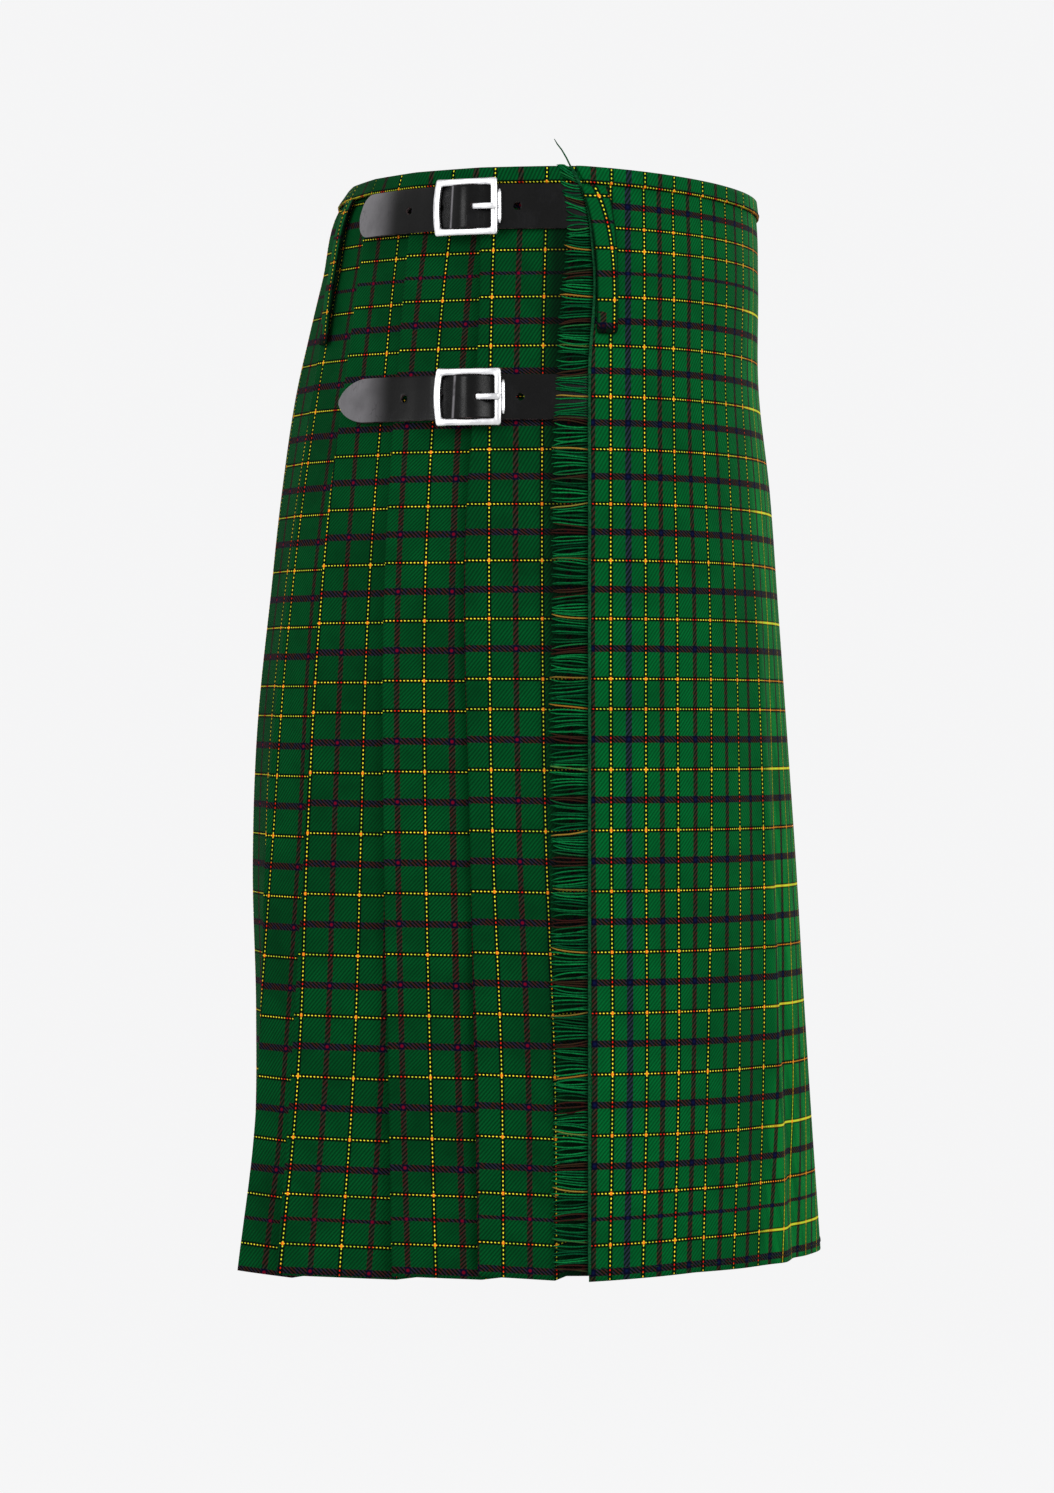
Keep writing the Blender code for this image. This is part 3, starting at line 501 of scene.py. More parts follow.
@dataclass(frozen=True)
class BridleLeather:
    """Black strap leather with a soft gloss, fine grain and wear creases, and painted sheen towards its tip and
    on its bend.
    """

    name: str = "black_leather"
    black: tuple = linear(3, 3, 3)
    worn: tuple = linear(15, 15, 16)
    # pale is the light grey of the painted sheen and the painted highlight.
    pale: tuple = linear(104, 102, 105)
    crease: float = 0.0072  # where the painted highlight on the strap's bend lies, behind the buckle's centre
    tip: float = 0.046  # where its painted sheen starts, growing paler towards its tip
    rough_low: float = 0.30
    rough_high: float = 0.46

    def make(self) -> bpy.types.Material:
        """Builds the grain, the painted sheen at the tip, the creases with a painted highlight on the bend, and
        the gloss.
        """
        b = Bench(self.name)
        where = b.place()
        back, up = b.chart("cut")
        grain = b.noise(where, 1400.0, 3.0)
        wear = b.noise(where, 55.0, 4.0)
        cracks = b.node(
            "ShaderNodeTexVoronoi",
            {"feature": "DISTANCE_TO_EDGE"},
            {"Vector": b.point(back * 2.2 + wear * 0.004, up * 0.6), "Scale": 210.0, "Randomness": 1.0},
        )
        lines = Signal(b, cracks.outputs[0]).inside(0.045, 0.03) * b.remap(wear, 0.50, 0.62, 0.0, 1.0)
        tone = b.blend(b.remap(wear, 0.45, 0.70, 0.0, 0.7), self.black, self.worn)
        # Painted sheen: paler towards the tip, where the strap curves away, broken up by the wear noise.
        near_tip = b.remap(back, self.tip, self.tip + 0.024, 0.0, 1.0)
        tone = b.blend(near_tip * b.remap(wear, 0.2, 0.6, 0.55, 0.85), tone, self.pale)
        # A painted highlight on the strap's bend inside the buckle, broken up by the wear noise.
        highlight_breakup = b.remap(wear, 0.35, 0.5, 0.3, 1.0)
        shine = abs(back + up * 0.06 - self.crease).inside(0.0006, 0.0005) * highlight_breakup
        tone = b.blend(shine, tone, self.pale)
        tone = b.blend(lines * 0.30, tone, self.worn)
        b.bump(grain * 0.5 - lines * 0.6, 0.14, 0.0003)
        inside = abs(back).inside(0.0135, 0.001)
        return b.finish(
            Base_Color=tone,
            Roughness=b.remap(grain, 0.3, 0.7, self.rough_low, self.rough_high) - inside * 0.10,
            Specular_IOR_Level=0.10,
            Coat_Weight=b.remap(wear, 0.4, 0.6, 0.06, 0.01),
            Coat_Roughness=0.22,
        )


@dataclass(frozen=True)
class SatinMetal:
    """Pale plated metal with a satin brush."""

    name: str = "satin_metal"
    bright: tuple = (0.76, 0.76, 0.77, 1.0)
    dull: tuple = (0.50, 0.50, 0.52, 1.0)

    def make(self) -> bpy.types.Material:
        """Builds the brushed plate."""
        b = Bench(self.name)
        where = b.place()
        brush = b.noise(where, 700.0, 2.0)
        cloud = b.noise(where, 90.0, 3.0)
        b.bump(brush, 0.03, 0.0002)
        return b.finish(
            Base_Color=b.blend(b.remap(cloud, 0.4, 0.65, 0.0, 0.7), self.bright, self.dull),
            Roughness=b.remap(brush, 0.3, 0.7, 0.30, 0.42),
            Metallic=1.0,
        )


@dataclass(frozen=True)
class PalePaint:
    """The studio's plain pale surface."""

    name: str = "pale_paint"
    tone: tuple = (0.02, 0.02, 0.02, 1.0)
    glow: tuple = (0.895, 0.895, 0.90, 1.0)

    def make(self) -> bpy.types.Material:
        """Builds the plain matt surface, evened out by its own glow."""
        made = Bench(self.name).finish(
            Base_Color=self.tone,
            Roughness=0.95,
            Specular_IOR_Level=0.0,
            Emission_Color=self.glow,
            Emission_Strength=1.0,
        )
        made.cycles.emission_sampling = "NONE"
        return made


# ---- the kilt's form --------------------------------------------------------------------------------
@dataclass(frozen=True)
class Heights:
    """Numbers charted at a few falling heights and joined by smooth curves."""

    levels: tuple
    rows: tuple

    def at(self, z: float) -> Array:
        """Reads the chart.

        Args:
            z: a height.

        Returns:
            The chart's numbers there.
        """
        down = -np.array(self.levels)
        values = np.array(self.rows, float)
        here = min(max(-z, down[0]), down[-1])
        slopes = np.gradient(values, down, axis=0)
        i = min(int(np.searchsorted(down, here, side="right")) - 1, len(down) - 2)
        gap = down[i + 1] - down[i]
        s = (here - down[i]) / gap
        first = values[i] * (2 * s**3 - 3 * s**2 + 1) + slopes[i] * gap * (s**3 - 2 * s**2 + s)
        return first + values[i + 1] * (3 * s**2 - 2 * s**3) + slopes[i + 1] * gap * (s**3 - s**2)


RINGS = Heights(
    (0.022, 0.013, -0.030, -0.090, -0.150, -0.210, -0.280, -0.360, -0.440, -0.510, -0.578),
    (  # half width, front, back, front power, back power, the over apron's edge in front of the hip
        (0.1555, 0.1115, 0.1165, 2.0, 2.1, 0.0080),
        (0.1570, 0.1125, 0.1225, 2.0, 2.1, 0.0125),
        (0.1615, 0.1136, 0.1335, 2.1, 2.2, 0.0205),
        (0.1725, 0.1138, 0.1475, 2.1, 2.3, 0.0180),
        (0.1815, 0.1203, 0.1560, 2.1, 2.6, 0.0180),
        (0.1875, 0.1245, 0.1620, 2.2, 3.0, 0.0180),
        (0.1920, 0.1295, 0.1675, 2.2, 3.5, 0.0180),
        (0.1960, 0.1350, 0.1680, 2.2, 4.2, 0.0180),
        (0.1990, 0.1395, 0.1640, 2.2, 5.0, 0.0180),
        (0.2015, 0.1440, 0.1630, 2.2, 6.0, 0.0180),
        (0.2040, 0.1490, 0.1680, 2.2, 7.5, 0.0180),
    ),
)


@dataclass(frozen=True)
class Crease:
    """A soft ridge or trough in the hanging cloth."""

    top: float
    foot: float
    arc_top: float  # behind the right hip, negative in front of it
    arc_foot: float
    width: float
    rise: float

    def push(self, z: float, arcs: Array, around: float) -> Array:
        """How far it moves the cloth.

        Args:
            z: the height.
            arcs: places along the ring.
            around: the ring's length.

        Returns:
            The outward move at each place.
        """
        share = (self.top - z) / (self.top - self.foot)
        if not 0.0 < share < 1.0:
            return np.zeros_like(arcs)
        centre = self.arc_top + (self.arc_foot - self.arc_top) * share
        away = (arcs - centre + 0.5 * around) % around - 0.5 * around
        swell = math.sin(math.pi * share) ** 1.2
        return self.rise * swell * np.exp(-((away / self.width) ** 2))


CREASES = (
    Crease(-0.150, -0.800, -0.148, -0.152, 0.010, 0.0034),
    Crease(-0.220, -0.760, -0.168, -0.180, 0.009, -0.0028),
    Crease(-0.120, -0.700, -0.100, -0.112, 0.014, 0.0010),
    Crease(-0.300, -0.820, -0.215, -0.225, 0.020, 0.0020),
    Crease(-0.260, -0.700, -0.262, -0.280, 0.016, -0.0018),
    Crease(-0.180, -0.640, -0.330, -0.352, 0.022, 0.0016),
    Crease(-0.320, -0.840, -0.395, -0.425, 0.017, -0.0020),
    Crease(-0.240, -0.780, -0.455, -0.500, 0.020, 0.0022),
    Crease(-0.140, -0.520, -0.060, -0.052, 0.012, -0.0006),
    Crease(-0.230, -0.760, 0.020, 0.016, 0.016, -0.0010),
    Crease(-0.260, -0.820, 0.070, 0.066, 0.018, -0.0012),
    Crease(-0.240, -0.760, 0.118, 0.122, 0.020, -0.0014),
    Crease(-0.300, -0.740, 0.158, 0.160, 0.014, -0.0016),
)


class Ring:
    """The base line of the cloth at one height, measured from the right hip round the back."""

    samples = 960

    def __init__(self, z: float) -> None:
        """Draws the ring at a height."""
        self.z = z
        half_width, front, back, front_power, back_power, self.apron_edge = RINGS.at(z)
        self.front = front
        angle = np.linspace(0.0, math.tau, self.samples + 1)
        across = -np.cos(angle)
        deep = np.sin(angle)
        behind = deep >= 0.0
        power = np.where(behind, back_power, front_power)
        depth = np.where(behind, back, front)
        radius = (np.abs(across / half_width) ** power + np.abs(deep / depth) ** power) ** (-1.0 / power)
        self.x = radius * across
        self.y = radius * deep
        self.run = np.concatenate([[0.0], np.cumsum(np.hypot(np.diff(self.x), np.diff(self.y)))])
        self.length = float(self.run[-1])
        self.back_length = float(self.run[self.samples // 2])

    def at(self, arcs: Array, outs: Union[float, Array] = 0.0) -> Array:
        """Plan positions.

        Args:
            arcs: distances along the ring.
            outs: distances out of it.

        Returns:
            One x and y for each.
        """
        arcs = np.atleast_1d(np.asarray(arcs, float))
        step = 0.0006
        tangent = self._on(arcs + step) - self._on(arcs - step)
        tangent /= np.linalg.norm(tangent, axis=1, keepdims=True)
        normal = np.stack([-tangent[:, 1], tangent[:, 0]], axis=1)
        pushed = np.zeros(len(arcs)) + outs
        for crease in CREASES:
            pushed = pushed + crease.push(self.z, arcs, self.length)
        return self._on(arcs) + pushed[:, None] * normal

    def _on(self, arcs: Array) -> Array:
        """Points on the ring itself."""
        arcs = arcs % self.length
        return np.stack([np.interp(arcs, self.run, self.x), np.interp(arcs, self.run, self.y)], axis=1)


class Form:
    """The rings of the whole kilt, each drawn once."""

    drawn: dict[float, Ring] = {}

    @classmethod
    def ring(cls, z: float) -> Ring:
        """The ring at a height."""
        key = round(float(z), 4)
        if key not in cls.drawn:
            cls.drawn[key] = Ring(key)
        return cls.drawn[key]

    @classmethod
    def place(cls, z: float, behind: float, out: float, side: Side = Side.RIGHT) -> Vector:
        """A point of the kilt.

        Args:
            z: its height.
            behind: its distance behind the hip.
            out: its distance out of the ring.
            side: the hip.

        Returns:
            The point.
        """
        ring = cls.ring(z)
        arc = behind if side is Side.RIGHT else ring.back_length - behind
        x, y = ring.at(np.array([arc]), out)[0]
        return Vector((x, y, z))

    @classmethod
    def behind_at(cls, z: float, depth: float) -> float:
        """The distance along the cloth behind a hip that looks this deep from the side."""
        ring = cls.ring(z)
        quarter = ring.samples // 4
        return float(np.interp(depth, ring.y[:quarter], ring.run[:quarter]))

    @staticmethod
    def dip(z: float, y: Array, front: float) -> Array:
        """How much lower the waist edge lies towards the centre front."""
        share = np.clip((-y / front - 0.13) / 0.87, 0.0, None)
        return 0.005 * share * min(1.0, max(0.0, (z + 0.030) / 0.043))


# ---- where the stripes lie --------------------------------------------------------------------------
def charted(places: Array, counts: Array, where: Array) -> tuple[Array, Array]:
    """Counts stripes along a line, going on evenly past both ends of the chart.

    Args:
        places: where whole stripes lie, rising.
        counts: their numbers.
        where: the places to be counted.

    Returns:
        The count at each place, and the distance from one stripe to the next there.
    """
    i = np.clip(np.searchsorted(places, where, side="right") - 1, 0, len(places) - 2)
    pitch = (places[i + 1] - places[i]) / (counts[i + 1] - counts[i])
    return counts[i] + (where - places[i]) / pitch, np.abs(pitch)


class Sett:
    """The order and spacing of the tartan's lines. Even counts are yellow lines, odd ones dark bands."""

    first_weft = -2
    last_weft = 37
    top_weft = 0.001  # the height of the first weft line
    weft_depths = (0.0, 0.060, 0.150, 0.240, 0.500, 0.530, 0.560)  # down from the straps at the waist
    weft_pitches = (0.0123, 0.0136, 0.0150, 0.0163, 0.0164, 0.0128, 0.0140)

    apron_steps = (5, 2, 7)  # how many stripes keep the near, the middle and the far pitch
    apron = Heights(
        (0.022, -0.350, -0.471, -0.578),
        (  # stripe 1 in front of the right hip, near pitch, middle pitch, far pitch
            (0.020, 0.0099, 0.0118, 0.0131),
            (0.020, 0.0098, 0.0115, 0.0126),
            (0.021, 0.0095, 0.0096, 0.0123),
            (0.020, 0.0090, 0.0091, 0.0108),
        ),
    )

    side = Heights(
        (0.022, -0.053, -0.193, -0.340, -0.471, -0.578),
        (  # each face's first stripe behind the right hip, from face 0 to face 3
            (0.004, 0.043, 0.082, 0.138),
            (0.006, 0.050, 0.086, 0.142),
            (0.007, 0.056, 0.090, 0.150),
            (0.005, 0.055, 0.091, 0.149),
            (0.000, 0.052, 0.094, 0.157),
            (-0.001, 0.049, 0.100, 0.161),
        ),
    )
    side_pitch = (0.0143, 0.0149, 0.0155, 0.0200)  # on each of those faces
    side_counts = (0, 3, 5, 9)  # each face's first stripe, in the tartan's order
    side_stripes = 4
    pleat_pitch = 0.0148

    @classmethod
    def weft(cls, z: Array) -> tuple[Array, Array]:
        """The weft's count and pitch at some heights."""
        places = [-cls.top_weft]
        for _ in range(cls.first_weft, cls.last_weft):
            places.append(places[-1] + float(np.interp(places[-1], cls.weft_depths, cls.weft_pitches)))
        places = np.array(places)
        counts = np.arange(len(places)) + float(cls.first_weft)
        return charted(places, counts, -np.asarray(z, float))

    @classmethod
    def on_apron(cls, z: float, ahead: Array) -> tuple[Array, Array]:
        """The warp's count and pitch, some way in front of the right hip."""
        first, *pitches = cls.apron.at(z)
        places = first + np.concatenate(([0.0], np.cumsum(np.repeat(pitches, cls.apron_steps))))
        return charted(places, np.arange(len(places)) + 1.0, ahead)

    @classmethod
    def on_face(cls, face: int, z: float, behind: Array, fold: float) -> tuple[Array, Array]:
        """The warp's count and pitch on a pleat's face.

        Args:
            face: the pleat's number, 0 at the right hip.
            z: the height.
            behind: distances behind the right hip.
            fold: where the pleat's outer fold lies.

        Returns:
            The count and the pitch at each distance.
        """
        if face < len(cls.side_pitch):
            places = cls.side.at(z)[face] + cls.side_pitch[face] * np.arange(cls.side_stripes)
            counts = np.arange(cls.side_stripes) + float(cls.side_counts[face])
            return charted(places, counts, behind)
        count = (behind - fold) / cls.pleat_pitch + 2.0 * face
        return count, np.full(len(behind), cls.pleat_pitch)


# ---- meshes -----------------------------------------------------------------------------------------
def keep(name: str, bm: bmesh.types.BMesh, *looks: bpy.types.Material) -> bpy.types.Object:
    """Makes a piece of a bmesh, which is freed.

    Args:
        name: the piece's name.
        bm: its shape, already in place.
        looks: its materials.

    Returns:
        The piece.
    """
    mesh = bpy.data.meshes.new(name)
    bm.to_mesh(mesh)
    bm.free()
    for look in looks:
        mesh.materials.append(look)
    mesh.shade_smooth()
    piece = bpy.data.objects.new(name, mesh)
    bpy.context.scene.collection.objects.link(piece)
    return piece


def solidify(piece: bpy.types.Object, thickness: float, rim: int = 0) -> bpy.types.Object:
    """Gives an open surface its thickness, half on each side.

    Args:
        piece: the surface.
        thickness: the wall.
        rim: how much is added to the material's number on its edge.

    Returns:
        The piece.
    """
    wall = piece.modifiers.new("Wall", "SOLIDIFY")
    wall.thickness = thickness
    wall.offset = 0.0
    wall.use_even_offset = True
    wall.material_offset_rim = rim
    return piece


def bent_sheet(
    name: str,
    points: Array,
    charts: dict[str, Array],
    look: bpy.types.Material,
    trim: Optional[Callable[[bmesh.types.BMesh], None]] = None,
) -> bpy.types.Object:
    """A flat grid that is bent to its place, with the charts that its finish reads.

    Args:
        name: the piece's name.
        points: rows of columns of places.
        charts: two numbers for each of those places, under each chart's name.
        look: its material.
        trim: cuts the grid before the charts are written.

    Returns:
        The piece.
    """
    rows, columns = points.shape[:2]
    bm = bmesh.new()
    bmesh.ops.create_grid(bm, x_segments=columns - 1, y_segments=rows - 1, size=0.5)
    flat = points.reshape(-1, 3)
    number = bm.verts.layers.int.new("number")
    for i, vert in enumerate(bm.verts):
        vert.co = flat[i]
        vert[number] = i
    if trim is not None:
        trim(bm)
    piece = keep(name, bm, look)
    mesh = piece.data
    numbers = np.empty(len(mesh.vertices), np.int32)
    mesh.attributes["number"].data.foreach_get("value", numbers)
    corners = np.empty(len(mesh.loops), np.int32)
    mesh.loops.foreach_get("vertex_index", corners)
    for key, values in charts.items():
        layer = mesh.uv_layers.new(name=key)
        picked = values.reshape(-1, 2)[numbers[corners]].astype(np.float32)
        layer.data.foreach_set("uv", picked.ravel())
    mesh.attributes.remove(mesh.attributes["number"])
    return piece


def swept(
    path: Sequence[Vector],
    outward: Sequence[Vector],
    half_width: Union[float, Sequence[float]],
    half_height: Union[float, Sequence[float]],
    sides: int = 12,
    closed: bool = False,
    square: float = 1.0,
) -> bmesh.types.BMesh:
    """A bar drawn along a path, with an oval section.

    Args:
        path: the points that it follows.
        outward: the section's upward direction at each.
        half_width: the section's half width across that direction.
        half_height: its half height along it.
        sides: the section's corners.
        closed: whether the bar joins its own start.
        square: under 1 flattens the section's sides.

    Returns:
        The bar's bmesh.
    """
    count = len(path)
    widths = half_width if isinstance(half_width, Sequence) else [half_width] * count
    heights = half_height if isinstance(half_height, Sequence) else [half_height] * count
    bm = bmesh.new()
    ring = bmesh.ops.create_circle(bm, segments=sides, radius=1.0)["verts"]
    shape = [Vector([math.copysign(abs(part) ** square, part) for part in v.co.xy]) for v in ring]
    for i in range(count):
        before = path[i - 1] if i or closed else path[0]
        after = path[(i + 1) % count] if i < count - 1 or closed else path[-1]
        tangent = (after - before).normalized()
        side = tangent.cross(outward[i]).normalized()
        up = side.cross(tangent).normalized()
        if i:
            edges = [e for e in bm.edges if all(v in ring for v in e.verts)]
            made = bmesh.ops.extrude_edge_only(bm, edges=edges)["geom"]
            fresh = {v for v in made if isinstance(v, bmesh.types.BMVert)}
            ring = [next(e.other_vert(v) for e in v.link_edges if e.other_vert(v) in fresh) for v in ring]
        for v, corner in zip(ring, shape):
            v.co = path[i] + side * (corner.x * widths[i]) + up * (corner.y * heights[i])
    loops = [e for e in bm.edges if e.is_boundary]
    if closed:
        bmesh.ops.bridge_loops(bm, edges=loops)
    else:
        bmesh.ops.holes_fill(bm, edges=loops, sides=sides)
    bmesh.ops.recalc_face_normals(bm, faces=bm.faces)
    return bm


def settle(piece: bpy.types.Object, slot: Slot, *nodes: str) -> bpy.types.Object:
    """Fixes a finished piece to the kilt.

    Args:
        piece: the piece.
        slot: the finish that it takes; not used.
        nodes: the solids that it stands for.

    Returns:
        The piece.
    """
    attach(piece, BODY)
    if nodes:
        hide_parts(*nodes)
    LOG.info("%s: %d faces", piece.name, len(piece.data.polygons))
    return piece


# ---- the cloth --------------------------------------------------------------------------------------
@dataclass
class Line:
    """One row of a cloth: its plan points with their drops, and the stripes that cross it."""

    spots: list[Array] = field(default_factory=list)
    drops: list[Array] = field(default_factory=list)
    stripes: list[Array] = field(default_factory=list)
    pitch: list[Array] = field(default_factory=list)
    lower: list[Array] = field(default_factory=list)

    def add(
        self, spots: Array, drop: Union[float, Array], stripes: tuple[Array, Array], lower: float
    ) -> None:
        """Adds a stretch of the row.

        Args:
            spots: its plan points.
            drop: how much lower than the row each hangs.
            stripes: the warp's counts and pitch there.
            lower: how much lower the weft's lines lie in it.
        """
        count = len(spots)
        self.spots.append(spots)
        self.drops.append(np.zeros(count) + drop)
        self.stripes.append(np.zeros(count) + stripes[0])
        self.pitch.append(np.zeros(count) + stripes[1])
        self.lower.append(np.full(count, lower))


class PleatFace:
    """The face of one knife pleat in plan, from the fold before it to its own outer fold."""

    flatness = 0.7

    def __init__(self, ring: Ring, start: float, end: float, sunk: float, kick: float) -> None:
        """Spans the face between two places on the ring."""
        self.ring = ring
        self.start = start
        self.end = end
        self.sunk = sunk
        self.kick = kick
        self.ends = ring.at(np.array([start, end]), np.array([-sunk, kick]))

    def at(self, shares: Array, inward: float = 0.0, reach: float = 0.0) -> Array:
        """Points at shares of the face's width, moved in towards the wearer and along the face."""
        shares = np.atleast_1d(np.asarray(shares, float))
        tangent = self._on(shares + 0.01) - self._on(shares - 0.01)
        tangent /= np.linalg.norm(tangent, axis=1, keepdims=True)
        normal = np.stack([-tangent[:, 1], tangent[:, 0]], axis=1)
        return self._on(shares) - inward * normal + reach * tangent

    def _on(self, shares: Array) -> Array:
        """Points of the face itself."""
        arcs = self.start + (self.end - self.start) * shares
        bent = self.ring.at(arcs, -self.sunk + (self.sunk + self.kick) * shares)
        chord = self.ends[0] + (self.ends[1] - self.ends[0]) * shares[:, None]
        return bent * (1.0 - self.flatness) + chord * self.flatness


@dataclass
class Pleats:
    """The knife pleats' layout, and how each is folded."""

    side_folds: Heights = Heights(
        (0.022, -0.053, -0.193, -0.340, -0.471, -0.578),
        (
            (0.0400, 0.0840, 0.1260, 0.1670),
            (0.0401, 0.0880, 0.1290, 0.1690),
            (0.0473, 0.0923, 0.1368, 0.1740),
            (0.0441, 0.0907, 0.1381, 0.1740),
            (0.0413, 0.0875, 0.1436, 0.1740),
            (0.0394, 0.0854, 0.1468, 0.1740),
        ),
    )
    kicks: tuple = (  # how far each outer fold stands out at the hem
        0.0015, 0.0030, 0.0060, 0.0110, 0.0050, 0.0040, 0.0045, 0.0040, 0.0050, 0.0090, 0.0050, 0.0,
    )  # fmt: skip
    back_pleats: int = 8
    underlay_top: float = 0.012
    underlay_hem: float = 0.034
    drop: float = 0.0025
    face_columns: int = 21
    lower: tuple = (  # how much lower each face's weft lines lie
        0.0, 0.0010, 0.0018, 0.0036, 0.0030, 0.0042, 0.0034, 0.0046, 0.0040, 0.0030, 0.0042, 0.0034,
    )  # fmt: skip

    def folds(self, z: float) -> list[tuple[float, float]]:
        """The outer folds at a height, each as its distance behind the right hip and its kick."""
        ring = Form.ring(z)
        side = list(self.side_folds.at(z))
        back = np.linspace(side[-1], ring.back_length - MEET - MOUTH, self.back_pleats + 1)[1:]
        return [(arc, kick * self.loose(z)) for arc, kick in zip([*side, *back], self.kicks)]

    @staticmethod
    def loose(z: float) -> float:
        """How freely the pleats hang: 0 down to the seat and 1 at the hem."""
        return max(0.0, (SEAT - z) / (SEAT - HEM)) ** 1.3

    def faces(self, z: float) -> list[PleatFace]:
        """The faces at a height, from the flat one at the right hip."""
        ring = Form.ring(z)
        folds = self.folds(z)
        made = [PleatFace(ring, 0.0, folds[0][0], 0.0, folds[0][1])]
        for (before, _), (arc, kick) in zip(folds, folds[1:]):
            made.append(PleatFace(ring, before, arc, 2.0 * LAYER, kick))
        return made

    def depth(self, face: PleatFace, z: float) -> float:
        """The share of a face that lies over its own underlay."""
        down = (TOP - z) / (TOP - HEM)
        width = face.end - face.start
        wide = self.underlay_top + (self.underlay_hem - self.underlay_top) * down**1.5
        return min(wide, 0.8 * width) / width

    def show(self, line: Line, face: PleatFace, number: int, z: float) -> None:
        """Adds a pleat's face, its outer fold, its underlay and its inner fold to a row."""
        loose = self.loose(z)
        shares = 0.5 - 0.5 * np.cos(np.linspace(0.0, math.pi, self.face_columns))
        shares = 0.6 * shares + 0.4 * np.linspace(0.0, 1.0, self.face_columns)
        arcs = face.start + (face.end - face.start) * shares
        stripes = Sett.on_face(number, z, arcs, face.end)
        lower = self.lower[number]
        line.add(face.at(shares), self.drop * loose * (1.0 - shares), stripes, lower)
        radius = 0.5 * LAYER
        step = stripes[1][-1]
        for degrees in (40, 90, 140):
            turn = math.radians(degrees)
            spot = face.at(1.0, radius * (1.0 - math.cos(turn)), radius * math.sin(turn))
            line.add(spot, 0.0, (stripes[0][-1:] + radius * turn / step, stripes[1][-1:]), lower)
        deep = self.depth(face, z)
        width = face.end - face.start
        for share in (1.0, 1.0 - 0.5 * deep, 1.0 - deep):
            run = math.pi * radius + (1.0 - share) * width
            drop = self.drop * loose * (1.0 - share)
            line.add(face.at(share, LAYER), drop, (stripes[0][-1:] + run / step, stripes[1][-1:]), lower)
        run = math.pi * radius + deep * width
        for degrees in (45, 90, 135):
            turn = math.radians(degrees)
            spot = face.at(1.0 - deep, LAYER + radius * (1.0 - math.cos(turn)), -radius * math.sin(turn))
            line.add(spot, self.drop * loose * deep, (stripes[0][-1:] + run / step, stripes[1][-1:]), lower)

    def inner_start(self, face: PleatFace, z: float, skip: float = 0.0) -> tuple[Array, float]:
        """The point just past the inner fold, where the next pleat's cloth begins, and its drop."""
        deep = self.depth(face, z)
        width = face.end - face.start
        return face.at(1.0 - deep + skip / width, 2.0 * LAYER), self.drop * self.loose(z) * deep


@dataclass(frozen=True)
class Cut:
    """What one sheet of cloth is, laid flat, and what it rests on."""

    node: str
    flat: tuple  # across and down
    area: float
    held: Held
    rests_on: str


